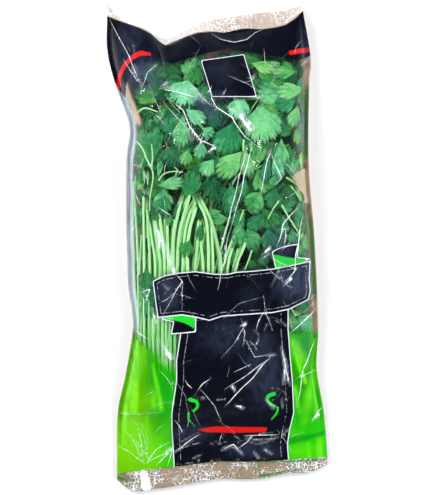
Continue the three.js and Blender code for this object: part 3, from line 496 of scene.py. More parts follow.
# Stretches along the bag: start, length of the fade in, end, and length of the fade out.
# the margin is a painted sheen on the slack film
MARGIN_SPAN = (-75, 25, 126, 10)  # pale film beside the stems
MARGIN_STRENGTH, MARGIN_WIDTH = 0.85, 5
HEM_SPAN = (-62, 20, 140, 8)  # films that touch along the right edge
TAIL_SPAN = (84, 12, 128, 10)  # the same near the left edge
LEAFY_SPANS = ((-42, 8, 28, 8), (62, 8, 124, 6))  # where leaves, not kraft, show through the right edge
HEM_WIDTH, HEM_GAIN, HEM_MIDDLE = 1.8, 3.2, 45  # its least width, how much it widens, and where it is least
TAIL_PLACE, TAIL_WIDTH = 8, 4  # from the left edge
TIP_START, TIP_FADE = -64, 8  # the kraft tip of the top strip


def through(stations):
    """The smooth curve through (place, value) stations: cubics between them, sloped by their neighbours."""
    places, values = np.array(stations, float).T
    before = np.maximum(np.arange(len(places)) - 1, 0)
    after = np.minimum(np.arange(len(places)) + 1, len(places) - 1)
    slopes = (values[after] - values[before]) / (places[after] - places[before])

    def curve(place):
        place = np.asarray(place, float)
        i = np.searchsorted(places[1:-1], place)
        step = places[i + 1] - places[i]
        t = np.clip((place - places[i]) / step, 0, 1)
        bend = t * (1 - t) * step * (slopes[i] * (1 - t) - slopes[i + 1] * t)
        return values[i] + (values[i + 1] - values[i]) * smooth(t) + bend

    return curve


def smooth(t):
    return t * t * (3 - 2 * t)


def eased(t):
    """Goes from 0 to 1 as t does, level at both ends and past them."""
    return smooth(np.clip(t, 0, 1))


def draw(seed):
    """A number from 0 to 1 for each seed, always the same one."""
    return (math.sin(seed * 12.9898 + 78.233) * 43758.5453) % 1


left_edge, right_edge = through(LEFT_EDGE), through(RIGHT_EDGE)
bottom_line, bottom_strip = through(BOTTOM_LINE), through(BOTTOM_STRIP)
top_line, top_strip = through(TOP_LINE), through(TOP_STRIP)
bottom_height, top_height = through(BOTTOM_HEIGHT), through(TOP_HEIGHT)
fill, boxiness, right_slope = through(FILL), through(BOXINESS), through(RIGHT_SLOPE)
bundle_left, bundle_width = through(BUNDLE_LEFT), through(BUNDLE_WIDTH)


def plan_of(across, along):
    """Where a place on the bag lies in plan: between the side edges, and between the weld lines or past
    them."""
    inside = np.clip(along, 0, 1)
    x = left_edge(inside) + (right_edge(inside) - left_edge(inside)) * across
    y = bottom_line(across) + (top_line(across) - bottom_line(across)) * inside
    return x, y - np.maximum(-along, 0) * bottom_strip(across) + np.maximum(along - 1, 0) * top_strip(across)


def place_of(x, y):
    """The place on the bag over a point in plan, found by stepping both ways in turn."""
    across = np.full(np.shape(x), 0.5)
    along = np.full(np.shape(x), 0.5)
    for _ in range(PLACE_STEPS):
        along = np.clip((y - bottom_line(across)) / (top_line(across) - bottom_line(across)), 0, 1)
        across = np.clip((x - left_edge(along)) / (right_edge(along) - left_edge(along)), 0, 1)
    return across, along


def back_height(across, along):
    """Underside of the back film: flat in the middle, curved up to the side seams and to each weld line."""
    side = np.abs(2 * across - 1)
    curve = np.maximum(side - REST_SHARE, 0) / (1 - REST_SHARE)
    bottom = eased(1 - along / BOTTOM_REACH)
    top = eased(1 - (1 - along) / TOP_REACH)
    seam = SEAM_LIFT * fill(np.clip(along, 0, 1)) * curve**SEAM_BEND * (1 - bottom) * (1 - top)
    drop = np.sqrt(np.maximum(STRIP_WIDTH**2 - top_strip(across) ** 2, 0)) * np.maximum(along - 1, 0)
    return seam + bottom_height(across) * bottom + top_height(across) * top - drop


def room_height(across, along):
    """Clear height between the films: the fill along the middle, times a rounded box across."""
    side = 2 * across - 1
    share = np.minimum(np.abs(side) / SIDE_WELD, 1)
    slope = 1 - right_slope(along) * eased((side - SLOPE_START) / (1 - SLOPE_START))
    room = fill(along) * np.sqrt(1 - share ** boxiness(along)) * slope
    return np.where((along <= 0) | (along >= 1), 0, room)


def front_height(across, along):
    return back_height(across, along) + FILM + WELD_GAP + room_height(across, along)


def layer_height(share, x, y):
    """Height of a layer over a point in plan, share running from 0 for the lowest layer to 1 for the
    highest."""
    across, along = place_of(x, y)
    low = back_height(across, along) + FILM + STEM_MARGIN
    high = np.maximum(front_height(across, along) - STEM_MARGIN, low)
    return low + (high - low) * share


def fullness_at(x, y):
    """Room between the films over a point in plan, as a share of the most there is."""
    return room_height(*place_of(x, y)) / FULLEST


# ---------------------------------------------------------------- meshes


class Heap:
    """Gathers grids of points into one mesh, with a uv and values for each point and a material for each
    face."""

    def __init__(self, *values):
        self.points, self.uvs, self.faces, self.slots = [], [], [], []
        self.values = {name: [] for name in values}
        self.count = 0

    def add_points(self, x, y, z, u, v, **values):
        """Adds a grid of points and returns their numbers in the same grid."""
        shape = np.broadcast(x, y, z, u, v).shape
        flat = [np.broadcast_to(a, shape).ravel() for a in (x, y, z, u, v)]
        self.points.append(np.stack(flat[:3], axis=1))
        self.uvs.append(np.stack(flat[3:], axis=1))
        for name, store in self.values.items():
            store.append(np.broadcast_to(values[name], shape).ravel())
        numbers = np.arange(flat[0].size).reshape(shape) + self.count
        self.count += flat[0].size
        return numbers

    def add_faces(self, corners, slot=0):
        self.faces.append(corners)
        self.slots.append(np.full(len(corners), slot))

    def add_quads(self, grid, slot=0, closed=False, flip=False):
        """Faces of a grid of point numbers. A closed grid joins its last column to its first."""
        if closed:
            grid = np.concatenate([grid, grid[:, :1]], axis=1)
        corners = (grid[:-1, :-1], grid[:-1, 1:], grid[1:, 1:], grid[1:, :-1])
        quads = np.stack([c.ravel() for c in corners], axis=1)
        self.add_faces(quads[:, ::-1] if flip else quads, slot)

    def build(self, name, materials):
        mesh = bpy.data.meshes.new(name)
        points = np.concatenate(self.points) * MM
        mesh.vertices.add(len(points))
        mesh.vertices.foreach_set("co", points.ravel().astype(np.float32))
        corners = np.concatenate([f.ravel() for f in self.faces])
        sizes = np.concatenate([np.full(len(f), f.shape[1]) for f in self.faces])
        starts = np.concatenate([[0], np.cumsum(sizes)[:-1]])
        mesh.loops.add(len(corners))
        mesh.loops.foreach_set("vertex_index", corners.astype(np.int32))
        mesh.polygons.add(len(sizes))
        mesh.polygons.foreach_set("loop_start", starts.astype(np.int32))
        mesh.polygons.foreach_set("material_index", np.concatenate(self.slots).astype(np.int32))
        mesh.polygons.foreach_set("use_smooth", np.ones(len(sizes), bool))
        mesh.update(calc_edges=True)
        layer = mesh.uv_layers.new(name="UVMap")
        layer.data.foreach_set("uv", np.concatenate(self.uvs)[corners].ravel().astype(np.float32))
        for value, store in self.values.items():
            attribute = mesh.attributes.new(value, "FLOAT", "POINT")
            attribute.data.foreach_set("value", np.concatenate(store).astype(np.float32))
        for material in materials:
            mesh.materials.append(material)
        piece = bpy.data.objects.new(name, mesh)
        bpy.context.scene.collection.objects.link(piece)
        return piece


def lengths_along(points):
    return np.concatenate([[0], np.cumsum(np.linalg.norm(np.diff(points, axis=0), axis=1))])


def add_tube(heap, points, radii, sides, tone, warm, slot=1):
    """A round tube: a ring at each point, square to the line through it, with a flat face at each end."""
    tangent = np.gradient(points, axis=0)
    tangent /= np.linalg.norm(tangent, axis=1, keepdims=True)
    side = np.stack([tangent[:, 1], -tangent[:, 0], np.zeros(len(points))], axis=1)
    side /= np.linalg.norm(side, axis=1, keepdims=True)
    up = np.cross(side, tangent)
    angle = np.arange(sides) * 2 * np.pi / sides
    ring = np.cos(angle)[None, :, None] * side[:, None] + np.sin(angle)[None, :, None] * up[:, None]
    surface = points[:, None] + ring * np.asarray(radii)[:, None, None]
    length = lengths_along(points)
    turns = angle[None] / (2 * np.pi)
    grid = heap.add_points(*np.moveaxis(surface, 2, 0), turns, length[:, None], tone=tone, warm=warm)
    heap.add_quads(grid, slot, closed=True, flip=True)
    heap.add_faces(grid[:1], slot)
    heap.add_faces(grid[-1:, ::-1], slot)


def rim_of(u, lobes, lobing, toothing):
    """How far a leaflet reaches at each share u of its opening: a rounded fan, cut in to lobes with round
    tips and narrow bays, and each lobe cut to three small teeth with narrow notches between them."""
    crown = 0.56 + 0.44 * np.cos(u * np.pi / 2) ** 0.7
    lobe = np.abs(np.cos(np.pi * lobes * u / 2)) ** 0.5
    tooth = np.abs(np.cos(np.pi * 3 * lobes * u / 2)) ** 0.6
    return crown * (1 - lobing * (1 - lobe) - toothing * (1 - tooth))


def crowded(beyond, give):
    """Takes distances past the start of a stretch to ones that come ever closer to its end."""
    return np.where(beyond > 0, give * (1 - np.exp(-np.maximum(beyond, 0) / give)), beyond)


def kept_inside(x, y):
    """Draws points in from the side seams and the top weld, towards which they crowd."""
    y = LEAF_TOP - SEAM_GIVE + crowded(y - LEAF_TOP + SEAM_GIVE, SEAM_GIVE)
    along = np.clip((y - BODY_FOOT) / BODY_LENGTH, 0, 1)
    low = left_edge(along) + SEAM_CLEARANCE[0] + SEAM_GIVE
    high = right_edge(along) - SEAM_CLEARANCE[1] - SEAM_GIVE
    x = low - crowded(low - x, SEAM_GIVE)
    return high + crowded(x - high, SEAM_GIVE), y


def add_leaflet(heap, foot, heading, length, opening, share, seed, tone, warm, lobes=5, fine=True, bow=1):
    """A leaflet as rays from its foot to its rim, swept across its opening, in two skins that meet all
    round. It lies along its layer, bows out of it towards the rim, and is pleated along its rays. Its uv
    counts the lobes across and runs from its foot, 0, to its rim, 1."""
    rings, samples = LEAF_GRIDS[fine]
    u = np.linspace(-1, 1, 3 * lobes * samples + 1)[None]
    out = np.linspace(0.03, 1, rings + 1)[:, None] ** 0.85
    lobing = 0.07 + (BAY_DEPTH[0] + BAY_DEPTH[1] * draw(seed + 0.1)) / length
    toothing = (NOTCH_DEPTH[0] + NOTCH_DEPTH[1] * draw(seed + 0.2)) / length
    reach = out * length * rim_of(u, lobes, lobing, toothing)
    spread = FAN[0] + FAN[1] * out
    angle = heading + u * math.radians(opening) * spread * (1 + 0.06 * np.sin(3 * u + seed))
    x, y = kept_inside(foot[0] + reach * np.sin(angle), foot[1] + reach * np.cos(angle))
    full = fullness_at(x, y)
    arch = (-1 if draw(seed + 0.3) < 0.5 else 1) * ARCH * full**2 * (out - 0.3) ** 2
    ruffle = RUFFLE * np.sin(u * (4 + 3 * draw(seed + 0.4)) + 6 * draw(seed + 0.5)) * out**2 * full
    lobe = np.cos(np.pi * lobes * u) * out
    z = layer_height(share, x, y) + bow * (arch + ruffle) + PLEAT * lobe
    body = BLADE / 2 * (1 - out**3) * (1 - u**6)
    # painted shading: a little paler on the crests of the pleats, with a random ripple
    tint = tone + 0.08 * np.sin(4 * u + seed) * out + 0.02 * lobe
    across = (u + 1) / 2 * lobes
    upper = heap.add_points(x, y, z + body, across, out, tone=tint, warm=warm)
    inner = (slice(1, -1), slice(1, -1))
    lower = upper.copy()
    parts = [np.broadcast_to(a, z.shape)[inner] for a in (x, y, z - body, across, out, tint)]
    lower[inner] = heap.add_points(*parts[:5], tone=parts[5], warm=warm)
    heap.add_quads(upper)
    heap.add_quads(lower, flip=True)


# ---------------------------------------------------------------- leafy stems


def spline(points, count):
    """Evenly spaced points on a smooth curve through points: cubics, sloped by the points beside them."""
    points = np.array(points, float)
    t = np.linspace(0, len(points) - 1, 400)
    i = np.minimum(t.astype(int), len(points) - 2)
    w = (t - i)[:, None]
    first, second = points[i], points[i + 1]
    slope = (second - points[np.maximum(i - 1, 0)]) / 2
    next_slope = (points[np.minimum(i + 2, len(points) - 1)] - first) / 2
    cubic = (2 * first - 2 * second + slope + next_slope) * w**3
    curve = cubic + (3 * second - 3 * first - 2 * slope - next_slope) * w**2 + slope * w + first
    run = lengths_along(curve)
    even = np.linspace(0, run[-1], count)
    return np.stack([np.interp(even, run, axis) for axis in curve.T], axis=1)


def lifted(plan, share):
    return np.column_stack([plan, layer_height(share, plan[:, 0], plan[:, 1])])


def lane_point(y, column):
    return (float(bundle_left(y) + bundle_width(y) * column), y)


def plan_sprig(layer, lane):
    """The leafy stem in a layer and a lane: its path in plan, and its leaf's foot, size and way."""
    seed = layer * LANES + lane
    x, y, heading, via = LAYER_PLANS[layer % len(LAYER_PLANS)][lane]

    def spread(kind, most):
        return (2 * draw(seed * 7 + kind) - 1) * most

    radius = LEAF_RADIUS * (1 + spread(1, SIZE_SPREAD))
    turn = math.radians(heading + spread(2, TURN_SPREAD))
    way = np.array([math.sin(turn), math.cos(turn)])
    centre = np.array([x + spread(3, PLACE_SPREAD), y + spread(4, PLACE_SPREAD)])
    base = centre - FOOT_SHARE * radius * way
    column = (lane + (layer % SUBLANES) / SUBLANES + 1 / (2 * SUBLANES)) / LANES
    start = [lane_point(height, column) for height in (CUT_END, *BUNDLE)]
    lane_points = [p for p in start if p[1] < min(via[1], base[1]) - VIA_GAP]
    path = [*lane_points, via, base - RUN_UP * radius * way, base]
    return {"seed": seed, "radius": radius, "turn": turn, "way": way, "base": base, "path": path}


def make_sprig(layer, lane, materials):
    """One leafy stem: its stem from the cut, the rib that goes on from it, and its toothed leaflets."""
    sprig = plan_sprig(layer, lane)
    share = TOP_SHARE * layer / (LAYERS - 1)
    base, way, radius, seed = sprig["base"], sprig["way"], sprig["radius"], sprig["seed"]
    heap = Heap("tone", "warm")
    warm = draw(seed + 21)
    route = spline(sprig["path"], STEM_RINGS)
    rib = base + np.linspace(RIB_START, RIB_LENGTH, RIB_RINGS)[:, None] * radius * way
    along = np.linspace(0, 1, STEM_RINGS)
    cut, below, foot, tip = STEM_RADII
    thickness = (0.88 + 0.24 * draw(seed + 9)) * (cut + (below - cut) * along)
    thickness = thickness + (foot - thickness) * eased((along - (1 - NECK)) / NECK)
    radii = np.concatenate([thickness, np.linspace(foot, tip, RIB_RINGS)])
    tone = np.concatenate([1 - 0.5 * along**1.5, np.full(RIB_RINGS, 0.35)])[:, None]
    tone = tone + 0.25 * (draw(seed + 3) - 0.5)
    line = np.concatenate([route, rib])
    way_up = np.concatenate([along, np.ones(RIB_RINGS)])
    sunk = eased((line[:, 1] - SINK_FROM) / SINK_OVER) * (1 - eased((way_up - RISE_FROM) / RISE_OVER))
    add_tube(heap, lifted(line, share * (1 - SINK * sunk)), radii, STEM_SIDES, tone, warm)
    # painted shade: leaflets in lower layers are given darker tones
    shade = 0.12 + 0.55 * draw(seed * 3 + 1) * (0.5 + 0.5 * share)
    for number, kind in enumerate(LEAFLETS):
        add_leaflet(
            heap,
            base + kind["at"] * radius * way,
            sprig["turn"] + math.radians(kind["turn"]),
            kind["length"] * radius,
            kind["opening"] + 6 * (draw(seed * 5 + number) - 0.5),
            share,
            seed * 11 + number,
            shade + 0.15 * (draw(seed * 13 + number) - 0.5),
            warm,
            fine=layer >= DEEP_LAYERS,
        )
    name = f"{layer + 1}{'abcde'[lane]}"
    piece = heap.build(f"leafy_stem_{name}", materials)
    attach(piece, BODY)
    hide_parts(f"sprig_{name}")


def make_front_leaflets(materials):
    """The leaflets that lie against the front film, with the loose stalks among them."""
    heap = Heap("tone", "warm")
    start = LEAF_STARTS["front"]
    for seed, (x, y, heading, length, opening, tone, warm, level) in enumerate(FRONT_LEAFLETS):
        turn = math.radians(heading)
        lobes = 3 if opening < NARROW else 5 if length < LONG else 7
        share = FRONT_LEVELS[level] - 0.012 * draw(seed)
        fine = level > 0
        add_leaflet(heap, (x, y), turn, length, opening, share, start + seed, tone, warm, lobes, fine, 0.5)
    for seed, points in enumerate(PETIOLES):
        route = spline(points, PETIOLE_RINGS)
        radii = (0.75 - 0.1 * (seed % 3)) * np.linspace(1, 0.7, PETIOLE_RINGS)
        add_tube(heap, lifted(route, PETIOLE_LEVEL), radii, THIN_SIDES, 0.9, 0.4)
    piece = heap.build("front_leaflets", materials)
    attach(piece, BODY)


def make_inner_leaflets(count, materials):
    """More leaflets between the layers. Their feet follow an even sequence of shares over the leafy part of
    the bag, which narrows to its right side below the leaf crown, and a seeded draw sets each one's layer
    and way."""
    heap = Heap("tone", "warm")
    feet, start = INNER_FEET, LEAF_STARTS["inner"]
    for n in range(count):
        y = feet["top"] - feet["run"] * (n * 0.5698403 % 1) ** 1.15
        left = feet["left"] + feet["moved"] * min(max((feet["below"] - y) / feet["over"], 0), 1)
        x = left + (feet["right"] - left) * (n * 0.7548777 % 1)
        share = 0.04 + 0.8 * draw(n * 3 + 0.7) * (0.25 if n % 3 == 0 else 1)
        heading = math.radians(360 * draw(n * 11 + 0.1))
        length = INNER_LENGTH[0] + INNER_LENGTH[1] * draw(n * 13 + 0.5)
        tip_x, tip_y = x + length * math.sin(heading), y + length * math.cos(heading)
        if abs(tip_x) > INNER_LIMITS[0] or tip_y > INNER_LIMITS[1]:
            heading += math.pi
        # painted shade: the deeper a leaflet lies, the darker its tone
        tone = 0.05 + 0.6 * draw(n * 17 + 0.2) * (0.4 + 0.6 * share)
        fine = share > 0.55
        warm = draw(n + 0.6)
        add_leaflet(heap, (x, y), heading, length, INNER_OPENING, share, start + n, tone, warm, fine=fine)
    piece = heap.build("inner_leaflets", materials)
    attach(piece, BODY)


def make_inner_stems(count, materials):
    """More stems of the bundle: those against the front film, and some between the layers, each of which
    wanders a little across its lanes and ends under the leaves."""
    heap = Heap("tone", "warm")
    for n, (feet, *points) in enumerate([*FRONT_STEMS, *FRONT_STEMS[5:]]):
        points = [*zip(feet, FOOT_HEIGHTS), *points]
        beside = n >= len(FRONT_STEMS)
        aside = -2.4 + 1.2 * draw(n * 41 + 0.6) if beside else 0.0
        (x, y), (last_x, last_y) = points[0], points[-1]
        lean = (last_x - points[-2][0]) / max(last_y - points[-2][1], 1)
        last_y += 12 * draw(n * 43 + 0.2) - 5
        top = (last_x + lean * STEM_DIVE, last_y + STEM_DIVE)
        line = np.array([(x, y + 10 * draw(n * 37 + 0.3) - 7), *points[1:], top]) + (aside, 0)
        route = spline(line, LONG_RINGS)
        least = BESIDE_RADIUS if beside else FRONT_RADII[0]
        radii = (least + FRONT_RADII[1] * draw(n * 23 + 0.4)) * np.linspace(1, 0.78, LONG_RINGS)
        tone = np.linspace(1, 0.85, LONG_RINGS)[:, None] + 0.5 * (draw(n * 29) - 0.6)
        dive = eased((route[:, 1] - last_y + STEM_DIVE / 2) / STEM_DIVE)
        share = (0.9 if beside else 1.0) - 0.05 * draw(n * 31 + 0.2) - 0.35 * dive
        add_tube(heap, lifted(route, share), radii, STEM_SIDES, tone, draw(n + 0.8), slot=0)
    for n in range(count):
        share = 0.97 * (1 - draw(n * 3 + 0.4) ** 1.4)
        column = -0.05 + 1.08 * draw(n * 5 + 0.8)
        lean = 0.22 * (draw(n * 7 + 0.6) - 0.35)
        top = 8 + 30 * draw(n * 11 + 0.2)
        heights = np.array([CUT_END + 8 * draw(n * 13) - 2, -90, -55, -20, top])
        columns = column + lean * ((heights - CUT_END) / 150) ** 1.5
        columns = np.clip(columns, *COLUMN_LIMITS)
        route = spline([lane_point(y, c) for y, c in zip(heights, columns)], INNER_RINGS)
        radii = (INNER_RADII[0] + INNER_RADII[1] * draw(n * 17)) * np.linspace(1, 0.75, INNER_RINGS)
        tone = np.linspace(0.95, 0.7, INNER_RINGS)[:, None] + 0.4 * (draw(n * 19) - 0.5)
        add_tube(heap, lifted(route, share), radii, THIN_SIDES, tone, draw(n + 0.4), slot=0)
    piece = heap.build("inner_stems", materials)
    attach(piece, BODY)


# ---------------------------------------------------------------- films


def across_columns(inner, weld):
    """Places across a film: even in the middle, closer and closer up to each side weld, and even on it."""
    step = np.linspace(-1, 1, inner + 1)
    slope = 2 * SIDE_WELD / (1 + EVEN_SHARE)
    closer = SIDE_WELD - slope / (2 * (1 - EVEN_SHARE)) * (1 - np.abs(step)) ** 2
    side = np.where(np.abs(step) < EVEN_SHARE, slope * np.abs(step), closer) * np.sign(step)
    edge = np.linspace(1, SIDE_WELD, weld + 1)[:-1]
    return (np.concatenate([-edge, side, edge[::-1]]) + 1) / 2


def film_grid(inner, weld, body, strip):
    """The places of a film's points: across as columns, and along as rows of both strips and the body."""
    rows = [np.linspace(-1, 0, strip + 1)[:-1], np.linspace(0, 1, body + 1), np.linspace(1, 2, strip + 1)[1:]]
    return np.meshgrid(across_columns(inner, weld), np.concatenate(rows))


def distance_to_line(x, y, points):
    """Distance to a bent line, signed distance across its nearest stretch, and the way along it, 0 to 1."""
    nearest = np.full(x.shape, 1e9)
    signed, along = np.zeros(x.shape), np.zeros(x.shape)
    pairs = list(zip(points[:-1], points[1:]))
    for number, ((ax, ay), (bx, by)) in enumerate(pairs):
        dx, dy = bx - ax, by - ay
        t = np.clip(((x - ax) * dx + (y - ay) * dy) / (dx * dx + dy * dy), 0, 1)
        away = np.hypot(x - ax - t * dx, y - ay - t * dy)
        closer = away < nearest
        sideways = ((x - ax) * dy - (y - ay) * dx) / math.hypot(dx, dy)
        beyond = np.sign(sideways) * away
        nearest = np.where(closer, away, nearest)
        signed = np.where(closer, np.where(sideways == 0, away, beyond), signed)
        along = np.where(closer, (number + t) / len(pairs), along)
    return nearest, signed, along


def outside(x, y, outline):
    """Distance to a closed outline, below zero inside it."""
    loop = np.array([*outline, outline[0]], float)
    nearest, _, _ = distance_to_line(x, y, [tuple(p) for p in loop])
    crossed = np.zeros(x.shape, bool)
    for (ax, ay), (bx, by) in zip(loop[:-1], loop[1:]):
        if ay != by:
            passes = (ay > y) != (by > y)
            crossed ^= passes & (x < (bx - ax) * (y - ay) / (by - ay) + ax)
    return np.where(crossed, -nearest, nearest)


def small_creases():
    """Short creases at seeded places, longest in the middle of the bag and mostly along it."""
    (low_x, width), (low_y, length) = SMALL_FIELD
    creases = []
    for n in range(SMALL_CREASES):
        x = low_x + width * draw(n * 3 + 0.15)
        y = low_y + length * draw(n * 5 + 0.35)
        reach = SMALL_LENGTH[0] + (SMALL_LENGTH[1] - SMALL_LENGTH[0]) * draw(n * 7 + 0.55) ** 2
        turn = math.radians(SMALL_TURN * (draw(n * 11 + 0.75) - 0.5))
        bend = math.radians(SMALL_BEND * (draw(n * 13 + 0.95) - 0.5))
        middle = (x + reach / 2 * math.sin(turn), y + reach / 2 * math.cos(turn))
        end = (middle[0] + reach / 2 * math.sin(turn + bend), middle[1] + reach / 2 * math.cos(turn + bend))
        height = SMALL_HEIGHT[0] + (SMALL_HEIGHT[1] - SMALL_HEIGHT[0]) * draw(n * 17 + 0.25)
        if x < -30 and y > 128:
            continue
        # small creases get brighter painted highlights where the film glints most
        busy = (y < -50 and -32 < x < 56) or (x < -40 and y > 110)
        creases.append((((x, y), middle, end), height, (1 if busy else 0.55) * draw(n * 19 + 0.45) ** 2))
    return creases


def crease_fields(x, y):
    """What the creases do to each point: the height of the film there, the signed distance to the nearest
    crease, how near that is, and how bright it is. A crease fades towards its ends, and rises as a bell
    across its line."""
    height, nearest = np.zeros(x.shape), np.full(x.shape, 1e3)
    signed, bright = np.full(x.shape, 1e3), np.zeros(x.shape)
    for points, rise, glint in (*CREASES, *small_creases()):
        away, beyond, along = distance_to_line(x, y, points)
        fade = np.sin(np.pi * np.clip(along, 0.04, 0.96)) ** 0.5
        height = np.maximum(height, rise * fade * np.exp(-((away / CREASE_WIDTH) ** 2)))
        closer = away - glint < nearest
        nearest = np.where(closer, away - glint, nearest)
        signed = np.where(closer, beyond, signed)
        bright = np.where(closer, glint * fade, bright)
    return height, np.clip(signed, -CREASE_REACH, CREASE_REACH), np.abs(signed), bright


def waves(x, y, count, reach, seed):
    """Gentle waves: a sum of sines at seeded angles and phases, from -1 to 1."""
    total = np.zeros(np.shape(x))
    for n in range(count):
        turn = math.pi * draw(seed + n * 3)
        length = reach * (0.6 + 0.8 * draw(seed + n * 5))
        phase = 2 * math.pi * draw(seed + n * 7)
        total += np.sin(2 * math.pi * (x * math.cos(turn) + y * math.sin(turn)) / length + phase)
    return total / count


def pleats(along, x, strip):
    """Gathers that run in from each weld line and die out, and fade towards the bag's ends."""
    bottom = np.exp(-np.maximum(along, 0) / PLEAT_REACH[0]) * (along > -0.02)
    top = np.exp(-np.maximum(1 - along, 0) / PLEAT_REACH[1]) * (along < 1.02)
    low, high = (waves(x, 0 * x, *WAVES[kind]) for kind in ("bottom gathers", "top gathers"))
    return (bottom * low + top * high) * PLEAT_HEIGHT * np.clip(1 - strip, 0.25, 1)


def ovals_at(x, y, ovals):
    """How strong the strongest soft oval is at each point. Gentle waves make their outlines ragged."""
    strongest = np.zeros(x.shape)
    ragged = 1 + 0.35 * waves(x, y, *WAVES["ragged ovals"])
    for px, py, length, width, turn, strength in ovals:
        c, s = math.cos(math.radians(turn)), math.sin(math.radians(turn))
        lengthwise = ((x - px) * s + (y - py) * c) / length
        sideways = ((x - px) * c - (y - py) * s) / width
        strongest = np.maximum(strongest, strength * np.exp(-((lengthwise**2 + sideways**2) * ragged) ** 1.5))
    return strongest


def strokes_at(x, y, strokes):
    """Distance to brush strokes: smooth curves through points, with a half width at each end."""
    nearest = np.full(x.shape, 1e3)
    for points, first, last in strokes:
        away, _, along = distance_to_line(x, y, [tuple(p) for p in spline(points, 14)])
        nearest = np.minimum(nearest, away - first - (last - first) * along)
    return nearest


def flares_at(x, y, flares, soft=0.9):
    """How strong the strongest tapered stroke is at each point: full inside it, none past its edge."""
    strongest = np.zeros(x.shape)
    for points, first, last, strength in flares:
        beyond = strokes_at(x, y, ((points, first, last),))
        strongest = np.maximum(strongest, strength * np.clip(0.3 - beyond / soft, 0, 1))
    return strongest


def span_at(y, start, rise, end, fall):
    """1 along a stretch of the bag and 0 past it, eased at both ends."""
    return eased((y - start) / rise) * eased((end - y) / fall)


def film_places(grid):
    """Places of a film's points, where they lie in plan, and how far out on an end strip they are."""
    across, along = film_grid(**grid)
    return across, along, *plan_of(across, along), np.maximum(np.maximum(-along, along - 1), 0)


def hem_of(x, y, along, from_left, from_right):
    """How much of the film behind shows because the two films touch: at the right edge, along a tail near
    the left one, where no leaf lies between them, and at the left tip of the top strip."""
    wide = HEM_WIDTH + HEM_GAIN - HEM_GAIN * eased(5 - np.abs(y - HEM_MIDDLE) / 4)
    edge = np.exp(-((from_right / wide) ** 2)) * span_at(y, *HEM_SPAN)
    tail = np.exp(-(((from_left - TAIL_PLACE) / TAIL_WIDTH) ** 2)) * span_at(y, *TAIL_SPAN)
    slack = eased(0.5 - outside(x, y, SLACK) / SLACK_EDGE + 0.55 * waves(x, y, *WAVES["slack edge"]))
    tip = eased((TIP_START - x) / TIP_FADE) * (along > 1)
    return np.maximum(np.maximum(edge, tail), np.maximum(slack, tip))


def make_front_film(bag, materials):
    """The clear printed film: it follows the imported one, with creases, gathers and gentle waves on it. Each
    point carries its distance to every printed edge, so that the print stays sharp between points."""
    across, along, x, y, strip = film_places(FRONT_GRID)
    sway = 0.7 * waves(x, y, *WAVES["sway of creases"])
    crease, signed, near, bright = crease_fields(x + sway, y - sway)
    loose = np.clip(room_height(across, np.clip(along, 0.001, 0.999)) / LOOSE_ROOM, 0, 1) * (strip == 0)
    z = front_height(across, along) + FILM / 2
    cushions = CUSHION_HEIGHT * (waves(x, y, *WAVES["cushions"]) + 1) * (0.4 + 0.6 * loose)
    z = z + (crease + cushions) * loose * bag.wrinkle
    z = z + pleats(along, x, strip)
    body = np.clip(along, 0, 1)
    from_left = x - left_edge(body)
    from_right = np.maximum(right_edge(body) - x, 0)
    # painted sheen along the left side, beside the stems
    margin = np.exp(-np.maximum(from_left / MARGIN_WIDTH - 0.4, 0) ** 2 * 1.8)
    margin = MARGIN_STRENGTH * margin * span_at(y, *MARGIN_SPAN)
    values = {
        "band": outside(x, y, BAND),
        "badge": outside(x, y, BADGE),
        "ribbon": outside(x, y, RIBBON),
        "panel": outside(x, y, PANEL),
        "fold": np.minimum(outside(x, y, LEFT_FOLD), outside(x, y, RIGHT_FOLD)),
        "fold_green": np.minimum(outside(x, y, LEFT_FOLD_GREEN), outside(x, y, RIGHT_FOLD_GREEN)),
        "red": np.minimum(strokes_at(x, y, SWOOSHES), outside(x, y, RED_BAR)),
        "curl": strokes_at(x, y, CURLS),
        "mark": strokes_at(x, y, SEAL_MARKS),
        "crease": signed,
        "crease_near": near,
        "glint": bright,
        # painted glare, painted sheen at the margin, painted reflection and shade, and painted shade and
        # highlights in the tint
        "painted_glare": flares_at(x, y, PAINTED_GLARE),
        "margin": margin,
        "hem": hem_of(x, y, along, from_left, from_right),
        "reflection_and_shade": ovals_at(x, y, REFLECTION_AND_SHADE),
        "gloom": np.maximum(ovals_at(x, y, GLOOM), flares_at(x, y, SHADOWS, 1.8)),
        "gleam": np.maximum(ovals_at(x, y, GLEAM) * 0.75, flares_at(x, y, STALKS, 2.2)),
        "strip": strip,
    }
    heap = Heap(*values)
    heap.add_quads(heap.add_points(x, y, z, across, along, **values))
    piece = heap.build("printed_front_film", materials)
    thicken(piece, bag.film_thickness, 1)
    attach(piece, BODY)
    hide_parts("front_film")


def make_back_film(bag, materials):
    """The opaque film behind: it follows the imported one, with gentle waves where it is off the surface."""
    across, along, x, y, strip = film_places(BACK_GRID)
    z = back_height(across, along) + FILM / 2
    raised = np.clip((z - 2) / 6, 0, 1)
    z = z + 0.5 * waves(x, y, *WAVES["back film"]) * raised * (strip == 0)
    z = z + pleats(along, x, strip)
    z = np.maximum(z, 0.5 * bag.film_thickness / MM)
    heap = Heap("strip")
    heap.add_quads(heap.add_points(x, y, z, across, along, strip=strip))
    piece = heap.build("kraft_back_film", materials)
    thicken(piece, bag.film_thickness, 0)
    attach(piece, BODY)
    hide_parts("back_film")


def thicken(piece, thickness, inner_slot):
    """Gives a sheet its thickness, centred on it, with the material in inner_slot below and on its edge."""
    solidify = piece.modifiers.new("thickness", "SOLIDIFY")
    solidify.thickness = thickness
    solidify.offset = 0
    solidify.material_offset = inner_slot
    solidify.material_offset_rim = inner_slot


# ---------------------------------------------------------------- shader tools


